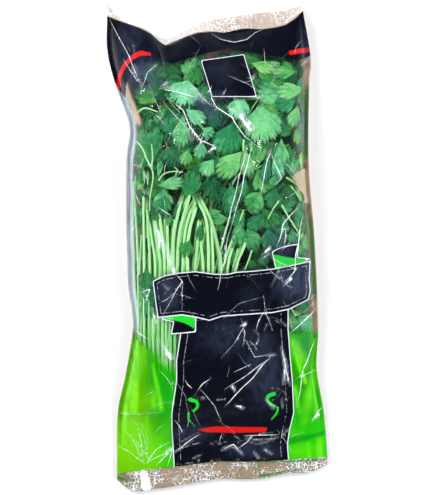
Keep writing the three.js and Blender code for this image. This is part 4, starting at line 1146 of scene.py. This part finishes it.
class Value:
    """A shader socket that takes part in arithmetic: each operator adds the Math node for it."""

    def __init__(self, shader, socket):
        self.shader, self.socket = shader, socket

    def math(self, operation, *others, clamp=False):
        settings = {"operation": operation, "use_clamp": clamp}
        return self.shader.node("ShaderNodeMath", settings, dict(enumerate((self, *others)))).out()

    __add__ = __radd__ = partialmethod(math, "ADD")
    __sub__ = partialmethod(math, "SUBTRACT")
    __mul__ = __rmul__ = partialmethod(math, "MULTIPLY")
    __truediv__ = partialmethod(math, "DIVIDE")
    __pow__ = partialmethod(math, "POWER")
    size = partialmethod(math, "ABSOLUTE")
    most = partialmethod(math, "MAXIMUM")
    clamped = partialmethod(math, "ADD", 0, clamp=True)

    def __rsub__(self, other):
        return self * -1 + other


class Node:
    def __init__(self, shader, made):
        self.shader, self.made = shader, made

    def out(self, name=0):
        return Value(self.shader, self.made.outputs[name])


class Shader:
    """The node tree of a material or a world, with short ways to add its nodes."""

    def __init__(self, owner):
        self.owner = owner
        owner.use_nodes = True
        self.tree = owner.node_tree
        self.tree.nodes.clear()

    def node(self, kind, settings=None, inputs=None):
        made = self.tree.nodes.new(kind)
        for key, value in (settings or {}).items():
            setattr(made, key, value)
        for key, value in (inputs or {}).items():
            if isinstance(value, Value):
                self.tree.links.new(value.socket, made.inputs[key])
            else:
                made.inputs[key].default_value = value
        return Node(self, made)

    def attribute(self, name):
        return self.node("ShaderNodeAttribute", {"attribute_name": name}).out("Fac")

    def place(self):
        return self.node("ShaderNodeTexCoord").out("Object")

    def uv(self):
        return self.parts(self.node("ShaderNodeTexCoord").out("UV"))[:2]

    def parts(self, vector):
        split = self.node("ShaderNodeSeparateXYZ", inputs={0: vector})
        return split.out("X"), split.out("Y"), split.out("Z")

    def stretched(self, vector, scale):
        return self.node("ShaderNodeMapping", inputs={"Vector": vector, "Scale": scale}).out()

    def noise(self, vector, scale, detail=2, roughness=0.5):
        sizes = {"Scale": scale, "Detail": detail, "Roughness": roughness}
        return self.node("ShaderNodeTexNoise", inputs={"Vector": vector, **sizes}).out("Fac")

    def streaks(self, vector, stretch, scale, detail=2, roughness=0.5):
        return self.noise(self.stretched(vector, stretch), scale, detail, roughness)

    def facets(self, vector, stretch, scale, feature="F1", output="Distance"):
        inputs = {"Vector": self.stretched(vector, stretch), "Scale": scale}
        return self.node("ShaderNodeTexVoronoi", {"feature": feature}, inputs).out(output)

    def ramp(self, value, stops):
        """A colour for a value, from (place, colour) stops."""
        made = self.node("ShaderNodeValToRGB", inputs={0: value})
        elements = made.made.color_ramp.elements
        while len(elements) < len(stops):
            elements.new(1)
        for element, (place, colour) in zip(elements, stops):
            element.position = place
            element.color = (*colour, 1)
        return made.out("Color")

    def blend(self, factor, first, second):
        """A colour between two, each a link or three numbers."""
        colours = [c if isinstance(c, Value) else (*c, 1) for c in (first, second)]
        inputs = {0: factor, 6: colours[0], 7: colours[1]}
        return self.node("ShaderNodeMix", {"data_type": "RGBA"}, inputs).out(2)

    def bump(self, height):
        """A normal for a height in millimetres."""
        return self.node("ShaderNodeBump", inputs={"Height": height, "Distance": MM}).out()

    def surface(self, base, roughness, **inputs):
        named = {key.replace("_", " "): value for key, value in inputs.items()}
        named["Base Color"] = base if isinstance(base, Value) else (*base, 1)
        return self.node("ShaderNodeBsdfPrincipled", inputs={"Roughness": roughness, **named}).out()

    def mixed(self, factor, first, second):
        return self.node("ShaderNodeMixShader", inputs={0: factor, 1: first, 2: second}).out()

    def gloss(self, roughness, normal):
        return self.node("ShaderNodeBsdfGlossy", inputs={"Roughness": roughness, "Normal": normal}).out()

    def clear(self, colour=(1, 1, 1)):
        return self.node("ShaderNodeBsdfTransparent", inputs={"Color": (*colour, 1)}).out()

    def finish(self, surface, output="ShaderNodeOutputMaterial"):
        self.node(output, inputs={"Surface": surface})
        return self.owner


def new_material(name):
    return Shader(bpy.data.materials.new(name))


FEATHER = 0.35  # width over which a printed edge fades, mm
RIB_SPACING = 1.5  # of the ribs pressed into the end strips, mm
STRIP_EDGE = 50  # how sharply the end strips start
# Widths of the edges that frame the printed shapes, and the fine lines inside them: how far in, how strong.
EDGES = {"panel": 0.68, "fold": 0.75, "fold_green": 0.2, "ribbon": 0.7}
FINE_LINES = {"panel": (5.6, 0.5), "ribbon": (3.0, 0.6)}
FINE_HALF = 0.32
FRAME_DEPTH, FRAME_HALF, FRAME_STRENGTH = 0.9, 0.42, 1.15  # the white frame of the badge
# Wrinkles seen from close by: stretch of the place, and scale.
SHARDS = ((1, 0.5, 1), 330)
STREAKS = ((1, 0.3, 1), 500)
STRANDS = ((1, 0.06, 1), 620)
CRACKLE = ((1, 0.8, 1), 460)
LARGE_FACETS, SMALL_FACETS = ((1, 0.6, 1), 42), ((1, 0.7, 1), 130)
SWAY_SCALE, SWAY = 40, 0.006  # of the noise that moves the facets about


def inside(distance, margin=0.0):
    """1 inside a printed edge and 0 outside it, after moving the edge inwards by a margin."""
    return ((distance + margin) * (-1 / FEATHER) + 0.5).clamped()


def span_of(y, start, rise, end, fall):
    """1 along a stretch of the bag and 0 past it, with straight fades."""
    return ((y / MM - start) / rise).clamped() * ((y * (-1 / MM) + end) / fall).clamped()


def crimp_of(shader, y):
    """1 on the end strips and 0 between them, and the ribs that are pressed into them."""
    strip = (shader.attribute("strip") * STRIP_EDGE).clamped()
    return strip, (y * (2 * math.pi / (RIB_SPACING * MM))).math("SINE") * strip


def leaf_material(bunch):
    """Leaf green from dark to pale by each leaflet's tone and from bluish to yellowish by its warmth, paler
    along the veins that fan out from the foot to the lobes and their teeth, and along the rim."""
    shader = new_material("leaf_blade")
    lobe, out = shader.uv()
    # each leaflet's tone carries painted shade as well as its own paleness
    tone, warm = shader.attribute("tone"), shader.attribute("warm")
    where = shader.place()
    mottle = shader.noise(where, 260, 3)
    broad = shader.noise(where, 60)
    fleck = shader.noise(where, 620)
    main = (((lobe.math("FRACT") - 0.5).size() * -2) + 1) ** 14
    rays = ((((lobe * 3).math("FRACT") - 0.5).size() * -2) + 1) ** 5
    level = tone + (mottle - 0.5) * 0.7 + (fleck - 0.5) * 0.35 + (broad - 0.5) * 0.4 + rays * out * 0.03
    cool = shader.ramp(level, ((0.0, bunch.leaf_dark), (0.45, bunch.leaf_mid), (1.0, bunch.leaf_pale)))
    yellow = shader.ramp(level, ((0.0, bunch.young_dark), (0.45, bunch.young_mid), (1.0, bunch.young_pale)))
    colour = shader.blend((warm + (broad - 0.5) * 0.5).clamped(), cool, yellow)
    vein = (rays * (out * 1.8 - 0.7).clamped() * 0.3).most(main * (1.3 - out).clamped() * 0.8)
    rim = ((out - 0.92) * 12).clamped() * 0.3
    colour = shader.blend((vein * 0.6).most(rim * (tone + 0.3)).clamped(), colour, bunch.vein_colour)
    crinkle = shader.noise(where, 900)
    normal = shader.bump(vein * -0.08 + mottle * 0.4 + crinkle * 0.06)
    surface = shader.surface(colour, 0.45, Normal=normal, Specular_IOR_Level=0.08)
    return shader.finish(surface)


def stem_material(bunch):
    """Pale stem with fine lengthwise grooves, greener towards the leaf."""
    shader = new_material("stem_skin")
    u, _ = shader.uv()
    tone = shader.attribute("tone")
    blotch = shader.streaks(shader.place(), (1, 0.12, 1), 500)
    _, along, _ = shader.parts(shader.place())
    start, length, strength = STEM_SHADE
    shaded = ((along * (-1 / MM) - start) / length).clamped() * strength
    level = tone - shaded + (blotch - 0.5) * 0.4
    colour = shader.ramp(level, ((0.0, bunch.stem_green), (1.0, bunch.stem_pale)))
    groove = (u * 2 * math.pi * 7).math("SINE")
    normal = shader.bump(groove * 0.05 + blotch * 0.1)
    return shader.finish(shader.surface(colour, 0.34, Normal=normal, Specular_IOR_Level=0.2))


def swayed(shader, where):
    """A place moved about by a broad noise, so that facets made from it aren't regular."""
    sway = shader.node("ShaderNodeTexNoise", inputs={"Vector": where, "Scale": SWAY_SCALE}).out("Color")
    sway = shader.node("ShaderNodeVectorMath", {"operation": "SCALE"}, {0: sway, "Scale": SWAY}).out()
    return shader.node("ShaderNodeVectorMath", {"operation": "ADD"}, {0: where, 1: sway}).out()


def crumple_of(shader, bent):
    """Height of the fine crumpling, in millimetres: large and small flat facets, meeting in sharp folds."""
    large = shader.facets(bent, *LARGE_FACETS)
    small = shader.facets(bent, *SMALL_FACETS)
    return large * 1.6 + small * 0.4


def tint_of(shader, bag, look):
    """The green tint at the bottom, with painted highlights where stalks shine through it and painted shade
    where they shade it: how much of it there is, and its colour over the light that it lets through."""
    x, y, patchy, streak = look["x"], look["y"], look["patchy"], look["streak"]
    left = (x * -1).math("GREATER_THAN", 0)
    below = y * (-1 / MM) + TINT_TOP
    drop = left * ((x / MM + TINT_SLOPE[0]) / TINT_SLOPE[1]).clamped() * TINT_DROP
    share = ((below - drop + (patchy - 0.5) * 14 + (streak - 0.5) * 6) / TINT_FADE).clamped() * look["body"]
    solid = ((y * (-1 / MM) + TINT_SOLID + (patchy - 0.5) * 26) / TINT_THICKEN).clamped()
    at_side = left * ((x * (-1 / MM) - TINT_SIDE[0]) / TINT_SIDE[1]).clamped()
    at_side = at_side + (patchy - 0.55) * 1.2 + solid * left * 0.35
    # painted shade of stalks and folds (gloom) and painted highlights of lit stalks (gleam)
    gloom = (shader.attribute("gloom") * (0.7 + streak * 0.6)).clamped()
    gleam = (shader.attribute("gleam") * (0.6 + streak * 0.8)).clamped()
    colour = shader.blend(at_side.clamped(), bag.tint_colour, bag.tint_edge)
    colour = shader.blend(gleam * 0.8, colour, bag.tint_gleam)
    colour = shader.blend(gloom * 0.85, colour, bag.tint_shade_and_marks)
    ink = shader.surface(colour, 0.14, Normal=look["normal"], Specular_IOR_Level=0.18)
    ink_share = (0.56 + solid * 0.4 + (patchy - 0.5) * 0.5 + gloom * 0.5 + gleam * 0.4).clamped()
    return (share * 0.95).clamped(), shader.mixed(ink_share, shader.clear(bag.tint_light), ink)


def painted_glare_of(shader, look):
    """Painted glare: white where the film glares, broken up by cracks and streaks."""
    share = shader.attribute("painted_glare")
    cracks = (look["shards"] - 0.5) * 0.9 + (look["streak"] - 0.5) * 2
    smear = share * (0.32 + (look["streak"] - 0.5) * 0.8)
    return ((share * 1.5 + cracks - 1.05) * 2.6).clamped().most(smear).clamped()


def seal_glints_of(shader, look):
    """Painted glints on the end strips as a white crackle, and painted sheen on the top one's right part."""
    strip, streak = look["strip"], look["streak"]
    cells = shader.facets(look["bent"], *CRACKLE, feature="DISTANCE_TO_EDGE")
    # painted glints, as a white crackle
    crackle = ((0.09 - cells) * 14).clamped().most(((streak - 0.54) * 9).clamped())
    # painted sheen on the right part of the top strip
    upper = strip * (look["y"] * 40).clamped() * (look["x"] * 40 + 2).clamped()
    seal_glints = strip * crackle * ((look["sparkle"] * 0.8 + look["patchy"] - 0.8) * 6).clamped() * 0.85
    return seal_glints.most(upper * (0.16 + (streak - 0.4) * 2).clamped() * 0.5)


def print_of(shader, bag, look):
    """The opaque print, each shape over the one before, with its white edge: its cover and its colour."""
    names = ("panel", "fold", "ribbon", "badge", "fold_green")
    edges = {name: shader.attribute(name) for name in names}
    panel, folds, ribbon, badge, fold_green = edges.values()
    white, black = bag.line_colour, bag.print_colour
    cover = inside(shader.attribute("band")).most(inside(panel) * look["body"])
    cover = cover.most(inside(badge)).most(inside(ribbon)).most(inside(folds))

    def outlined(under, name):
        framed = shader.blend(inside(edges[name]), under, white)
        return shader.blend(inside(edges[name], EDGES[name]), framed, black)

    def fine_line(under, name):
        depth, strength = FINE_LINES[name]
        line = (1 - ((edges[name] + depth).size() / FINE_HALF)).clamped()
        return shader.blend(line * ((look["sparkle"] - 0.44) * 12).clamped() * strength, under, white)

    colour = fine_line(outlined(black, "panel"), "panel")
    colour = shader.blend(inside(shader.attribute("curl")), colour, bag.ribbon_green)
    colour = shader.blend(inside(shader.attribute("red")), colour, bag.red)
    colour = outlined(colour, "fold")
    colour = shader.blend(inside(fold_green, EDGES["fold_green"]), colour, bag.ribbon_green)
    colour = fine_line(outlined(colour, "ribbon"), "ribbon")
    colour = shader.blend(inside(badge), colour, black)
    frame_line = (1 - ((badge + FRAME_DEPTH).size() / FRAME_HALF)).clamped() * FRAME_STRENGTH
    return cover, shader.blend(frame_line.clamped(), colour, white)


def front_film_material(bag):
    """Clear glossy film with its print on the inside. From the back to the front: the clear film, the green
    tint at the bottom, the hem, painted bluish reflection and shade, the painted sheen of the pale margin,
    white crease lines (part stress whitening, part painted highlight), painted glare and glints, and the
    opaque print."""
    shader = new_material("printed_film")
    where = shader.place()
    x, y, _ = shader.parts(where)
    bent = swayed(shader, where)
    strip, ribs = crimp_of(shader, y)
    body = 1 - strip
    crease, glint = shader.attribute("crease").size(), shader.attribute("glint")
    sparkle = shader.noise(where, 320, 3, 0.7)
    patchy = shader.noise(where, 38)
    streak = shader.streaks(where, *STREAKS, 3, 0.7)
    shards, _, _ = shader.parts(shader.facets(bent, *SHARDS, output="Color"))

    # the white line along each crease: part stress whitening, part painted highlight
    on_crease = (1 - shader.attribute("crease_near") * 1.05).clamped().math("SIGN")
    ridge = (1 - crease / 1.3).clamped() * on_crease
    line = (1 - crease / (glint * 0.42 + 0.05)).clamped() * on_crease * glint
    line = (line * (1.3 + (sparkle - 0.45) * 6)).clamped() * 0.95
    height = crumple_of(shader, bent) * (0.35 + patchy * 0.6) + ridge * 0.5 * glint
    normal = shader.bump(height + ribs * 0.1 + sparkle * strip * 0.5)
    look = {
        "x": x, "y": y, "bent": bent, "strip": strip, "body": body, "sparkle": sparkle,
        "patchy": patchy, "streak": streak, "shards": shards, "normal": normal,
    }

    def laid(share, colour, roughness=0.3):
        """The film so far under a dull colour."""
        return shader.mixed(share, film, shader.surface(colour, roughness, Normal=normal))

    # the share reflected is the same from both sides, so that light gets in as well as out
    grazing = shader.node("ShaderNodeLayerWeight", inputs={"Blend": 0.5, "Normal": normal}).out("Facing")
    reflected = grazing**5 * 0.96 + 0.04
    film = shader.mixed(reflected.clamped(), shader.clear(), shader.gloss(0.07, normal))
    tint_share, tinted = tint_of(shader, bag, look)
    film = shader.mixed(tint_share, film, tinted)

    hem = shader.attribute("hem") + (patchy - 0.5) * 0.5 + (streak - 0.5) * 0.8
    hem = ((hem - 0.35) * 2).clamped() * 0.72
    first, second = [span_of(y, *span) for span in LEAFY_SPANS]
    leafy = first.most(second) * (x * 200).clamped()
    film = laid(hem, shader.blend(leafy * 0.95, bag.hem_colour, bag.hem_green), 0.4)
    # painted bluish reflection on the print and painted shade over the leaves
    reflection_and_shade = (shader.attribute("reflection_and_shade") * (0.3 + shards * 0.5)).clamped()
    film = laid(reflection_and_shade * body, bag.reflection_and_shade_colour)
    # painted sheen of the slack film beside the stems, in streaks
    strand = shader.streaks(where, *STRANDS)
    margin = ((shader.attribute("margin") - (1 - patchy) * 0.3) * 2.4).clamped()
    film = laid(margin * ((strand - 0.22) * 1.7).clamped(), bag.margin_sheen_colour)
    painted_glare = painted_glare_of(shader, look)
    # painted glare, crease lines (part painted highlight) and painted glints on the strips
    film = laid((painted_glare * 0.92).most(line).most(seal_glints_of(shader, look)).clamped(), bag.glare_and_stress_colour)
    mark = inside(shader.attribute("mark")) * strip * ((streak - 0.38) * 6).clamped()
    film = laid(mark, bag.tint_shade_and_marks)

    cover, colour = print_of(shader, bag, look)
    # painted reflection and shade, then painted glare and crease highlights, laid over the print
    colour = shader.blend((reflection_and_shade * 0.85).clamped(), colour, bag.reflection_and_shade_colour)
    colour = shader.blend(line.most(painted_glare * 0.85).clamped(), colour, bag.glare_and_stress_colour)
    printed = shader.surface(colour, 0.13, Normal=normal, Specular_IOR_Level=0.28)
    return shader.finish(shader.mixed(cover, film, printed))


def inner_film_material():
    """The clear film's inner face and edge, which let light through."""
    shader = new_material("film_inner_face")
    gloss = shader.node("ShaderNodeBsdfGlossy", inputs={"Roughness": 0.2}).out()
    return shader.finish(shader.mixed(0.01, shader.clear(), gloss))


def kraft_material(bag):
    """Kraft-brown film: fibres, soft blotches, and crimped ribs across its end strips."""
    shader = new_material("kraft_film")
    where = shader.place()
    _, y, _ = shader.parts(where)
    strip, ribs = crimp_of(shader, y)
    fibre = shader.streaks(where, (1, 0.3, 1), 900, 4, 0.65)
    blotch = shader.noise(where, 45, 3)
    level = (blotch * 0.6 + fibre * 0.5 - 0.05).clamped()
    colour = shader.blend(level, bag.kraft_dark, bag.kraft_pale)
    lower = strip * (y * -40).clamped()
    colour = shader.blend(lower * (0.5 + blotch * 0.5).clamped(), colour, bag.kraft_deep)
    normal = shader.bump(crumple_of(shader, swayed(shader, where)) * 0.35 + ribs * 0.12 + fibre * 0.05)
    return shader.finish(shader.surface(colour, 0.45, Normal=normal, Specular_IOR_Level=0.4))


def floor_material(stage):
    shader = new_material("pale_floor")
    grain = shader.noise(shader.place(), 30)
    colour = shader.blend(grain, stage.floor_colour, [c * 0.99 for c in stage.floor_colour])
    return shader.finish(shader.surface(colour, 0.8, Specular_IOR_Level=0.1))


def room_world(stage):
    """A room with pale walls and a dim ceiling: bright level with the floor, darker the higher it is."""
    shader = Shader(bpy.data.worlds.new("soft_room"))
    _, _, height = shader.parts(shader.node("ShaderNodeTexCoord").out("Generated"))
    steps = ((0.0, (1, 1, 1)), (0.3, (0.5, 0.55, 0.62)), (0.6, (0.12, 0.14, 0.18)), (1.0, (0.05, 0.06, 0.08)))
    colour = shader.ramp(height, steps)
    strength = {"Color": colour, "Strength": stage.room_light}
    return shader.finish(shader.node("ShaderNodeBackground", inputs=strength).out(), "ShaderNodeOutputWorld")


# ---------------------------------------------------------------- settings


def colour_property(name, description, default):
    shared = {"subtype": "COLOR", "min": 0, "max": 1}
    return FloatVectorProperty(name=name, description=description, default=default, **shared)


class CorianderBag(bpy.types.PropertyGroup):
    film_thickness: FloatProperty(
        name="Film thickness", description="Thickness of each film",
        default=0.00012, unit="LENGTH", min=0.00002
    )
    wrinkle: FloatProperty(
        name="Wrinkle", description="How strongly the front film creases",
        default=1.0, subtype="FACTOR", min=0, max=2
    )
    print_colour: colour_property("Print", "Near-black print", (0.002, 0.0022, 0.006))
    line_colour: colour_property("Lines", "White lines round the print", (0.74, 0.78, 0.82))
    ribbon_green: colour_property("Ribbon green", "Turned-over ends of the ribbon", (0.01, 0.54, 0.018))
    red: colour_property("Red", "Red strokes", (0.58, 0.008, 0.004))
    tint_colour: colour_property("Tint", "Green tint at the bottom", (0.014, 0.44, 0.001))
    tint_edge: colour_property("Tint at the sides", "Yellower green near the side seams", (0.125, 0.44, 0.0))
    tint_light: colour_property("Tinted light", "Light that comes through the green tint", (0.26, 0.86, 0.03))
    # painted shade in the tint; also the dark green marks on the bottom strip
    tint_shade_and_marks: colour_property("Tint, deep", "Dark places in the tint", (0.0, 0.2, 0.012))
    # painted highlights of lit stalks in the tint
    tint_gleam: colour_property("Tint, bright", "Bright places in the tint", (0.2, 0.8, 0.015))
    # painted bluish reflection, and painted shade over the leaves
    reflection_and_shade_colour: colour_property("Veil", "Dull bluish film", (0.055, 0.078, 0.14))
    # painted glare and glints, and the white of the creases: part stress whitening, part painted highlight
    glare_and_stress_colour: colour_property("Mist", "Stress lines and misted film", (0.93, 0.96, 1.0))
    # painted sheen of the slack film beside the stems
    margin_sheen_colour: colour_property("Margin", "Colour of the slack film beside the stems", (0.6, 0.73, 0.84))
    hem_colour: colour_property("Hem", "Kraft brown seen where the two films touch", (0.5, 0.375, 0.25))
    hem_green: colour_property("Hem by the leaves", "Leaf green seen through the seam", (0.05, 0.23, 0.055))
    kraft_deep: colour_property("Kraft, deep", "Olive brown of the lower crimped strip", (0.25, 0.19, 0.11))
    kraft_dark: colour_property("Kraft, dark", "Darker blotches of the back film", (0.38, 0.265, 0.18))
    kraft_pale: colour_property("Kraft, pale", "Paler blotches of the back film", (0.58, 0.42, 0.29))


class CorianderBunch(bpy.types.PropertyGroup):
    inner_leaflets: IntProperty(
        name="Inner leaflets", description="Leaflets between the layers",
        default=210, min=0, max=300
    )
    inner_stems: IntProperty(
        name="Inner stems", description="Stems between the layers",
        default=44, min=0, max=80
    )
    leaf_dark: colour_property("Leaf, dark", "Darkest bluish leaf green", (0.003, 0.05, 0.02))
    leaf_mid: colour_property("Leaf, middle", "Middle bluish leaf green", (0.015, 0.2, 0.072))
    leaf_pale: colour_property("Leaf, pale", "Palest bluish leaf green", (0.16, 0.56, 0.3))
    young_dark: colour_property("Young leaf, dark", "Darkest yellowish green", (0.01, 0.07, 0.006))
    young_mid: colour_property("Young leaf, middle", "Middle yellowish green", (0.045, 0.26, 0.024))
    young_pale: colour_property("Young leaf, pale", "Palest yellowish green", (0.24, 0.58, 0.12))
    vein_colour: colour_property("Veins", "Leaf veins", (0.2, 0.52, 0.26))
    stem_green: colour_property("Stem, green", "Stem near the leaf", (0.09, 0.38, 0.07))
    stem_pale: colour_property("Stem, pale", "Stem near the cut", (0.42, 0.8, 0.36))


class CorianderStage(bpy.types.PropertyGroup):
    floor_colour: colour_property("Floor", "Colour of the floor", (0.9, 0.9, 0.9))
    camera_height: FloatProperty(
        name="Camera height", description="Height of the camera over the bag",
        default=1.6, unit="LENGTH", min=0.5
    )
    view_width: FloatProperty(
        name="View width", description="Width that the camera sees at the bag's edge",
        default=0.32625, unit="LENGTH"
    )
    light: FloatProperty(name="Light", description="Strength of all lights", default=1.0, min=0)
    room_light: FloatProperty(
        name="Room light", description="Strength of the room's walls",
        default=1.3, min=0
    )


# ---------------------------------------------------------------- operators


class CORIANDER_OT_leafy_stems(bpy.types.Operator):
    """Makes the leafy stems, one for each packed one"""

    bl_idname = "coriander.leafy_stems"
    bl_label = "Leafy stems"

    def execute(self, context):
        bunch = context.scene.coriander_bunch
        materials = (leaf_material(bunch), stem_material(bunch))
        for layer in range(LAYERS):
            for lane in range(LANES):
                make_sprig(layer, lane, materials)
        return {"FINISHED"}


class CORIANDER_OT_inner_greens(bpy.types.Operator):
    """Makes the leaflets and stems between the layers, and those against the front film"""

    bl_idname = "coriander.inner_greens"
    bl_label = "Inner leaflets and stems"

    def execute(self, context):
        bunch = context.scene.coriander_bunch
        leaf, stem = bpy.data.materials["leaf_blade"], bpy.data.materials["stem_skin"]
        make_front_leaflets((leaf, stem))
        make_inner_leaflets(bunch.inner_leaflets, (leaf,))
        make_inner_stems(bunch.inner_stems, (stem,))
        return {"FINISHED"}


class CORIANDER_OT_back_film(bpy.types.Operator):
    """Makes the opaque film behind the bunch"""

    bl_idname = "coriander.back_film"
    bl_label = "Back film"

    def execute(self, context):
        bag = context.scene.coriander_bag
        make_back_film(bag, (kraft_material(bag),))
        return {"FINISHED"}


class CORIANDER_OT_front_film(bpy.types.Operator):
    """Makes the clear, printed film in front of the bunch"""

    bl_idname = "coriander.front_film"
    bl_label = "Front film"

    def execute(self, context):
        bag = context.scene.coriander_bag
        make_front_film(bag, (front_film_material(bag), inner_film_material()))
        return {"FINISHED"}


EDGE_HEIGHT = 0.012  # height of the bag's edge, where the view width is measured
FLOOR_SIZE = 8.0
FLOOR_DROP = 0.0002  # so that the floor and the bag's underside don't share a plane
# Lights: place, size along and across, power, and whether the film mirrors them; all look at the bag.
LIGHTS = (
    ((-1.0, 0.9, 0.9), (1.0, 1.0), 25, False),
    ((1.2, 0.6, 0.9), (1.0, 1.0), 19, False),
    ((-1.4, -0.5, 0.8), (0.8, 0.8), 14, False),
    ((1.2, -0.8, 1.0), (0.8, 0.8), 13, False),
    ((-0.35, 0.5, 0.9), (0.05, 0.05), 0.25, True),
    ((0.45, 0.15, 0.85), (0.05, 0.05), 0.2, True),
    ((0.1, -0.6, 0.9), (0.05, 0.05), 0.3, True),
    ((0.8, -0.1, 1.15), (1.8, 0.35), 0.45, True),
    ((-0.85, 0.1, 1.1), (1.8, 0.35), 0.4, True),
)


class CORIANDER_OT_stage(bpy.types.Operator):
    """Makes the floor, the lights and the camera straight above the bag"""

    bl_idname = "coriander.stage"
    bl_label = "Stage"

    def execute(self, context):
        stage = context.scene.coriander_stage
        half = FLOOR_SIZE / 2
        mesh = bpy.data.meshes.new("floor")
        corners = [(sx * half, sy * half, -FLOOR_DROP) for sx, sy in ((-1, -1), (1, -1), (1, 1), (-1, 1))]
        mesh.from_pydata(corners, [], [(0, 1, 2, 3)])
        mesh.materials.append(floor_material(stage))
        floor = bpy.data.objects.new("floor", mesh)
        context.scene.collection.objects.link(floor)

        context.scene.world = room_world(stage)

        for number, (place, size, power, mirrored) in enumerate(LIGHTS):
            light = bpy.data.lights.new(f"light_{number + 1}", "AREA")
            light.shape = "RECTANGLE"
            light.size, light.size_y = size
            light.energy = power * stage.light
            holder = bpy.data.objects.new(light.name, light)
            holder.location = place
            holder.visible_glossy = mirrored
            holder.rotation_euler = (Vector((0, 0, 0)) - Vector(place)).to_track_quat("-Z", "Y").to_euler()
            context.scene.collection.objects.link(holder)

        camera = bpy.data.cameras.new("camera")
        camera.sensor_fit = "HORIZONTAL"
        reach = stage.camera_height - EDGE_HEIGHT
        camera.lens = camera.sensor_width * reach / stage.view_width
        eye = bpy.data.objects.new("camera", camera)
        eye.location = (0, 0, stage.camera_height)
        context.scene.collection.objects.link(eye)
        context.scene.camera = eye
        context.scene.view_settings.view_transform = "Standard"
        return {"FINISHED"}


class CORIANDER_PT_panel(bpy.types.Panel):
    bl_idname = "CORIANDER_PT_panel"
    bl_label = "Coriander in a film bag"
    bl_space_type = "VIEW_3D"
    bl_region_type = "UI"
    bl_category = "Coriander"

    def draw(self, context):
        groups = (context.scene.coriander_bunch, context.scene.coriander_bag, context.scene.coriander_stage)
        for group in groups:
            box = self.layout.box()
            for name in group.__annotations__:
                box.prop(group, name)
        for operator in OPERATORS:
            self.layout.operator(operator.bl_idname)


OPERATORS = (
    CORIANDER_OT_leafy_stems,
    CORIANDER_OT_inner_greens,
    CORIANDER_OT_back_film,
    CORIANDER_OT_front_film,
    CORIANDER_OT_stage,
)
CLASSES = (CorianderBag, CorianderBunch, CorianderStage, *OPERATORS, CORIANDER_PT_panel)


def register():
    for item in CLASSES:
        bpy.utils.register_class(item)
    bpy.types.Scene.coriander_bag = PointerProperty(type=CorianderBag)
    bpy.types.Scene.coriander_bunch = PointerProperty(type=CorianderBunch)
    bpy.types.Scene.coriander_stage = PointerProperty(type=CorianderStage)


def unregister():
    del bpy.types.Scene.coriander_stage
    del bpy.types.Scene.coriander_bunch
    del bpy.types.Scene.coriander_bag
    for item in reversed(CLASSES):
        bpy.utils.unregister_class(item)


def main():
    register()
    bpy.ops.coriander.leafy_stems()
    bpy.ops.coriander.inner_greens()
    bpy.ops.coriander.back_film()
    bpy.ops.coriander.front_film()
    bpy.ops.coriander.stage()
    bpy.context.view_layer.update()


if __name__ == "__main__":
    main()
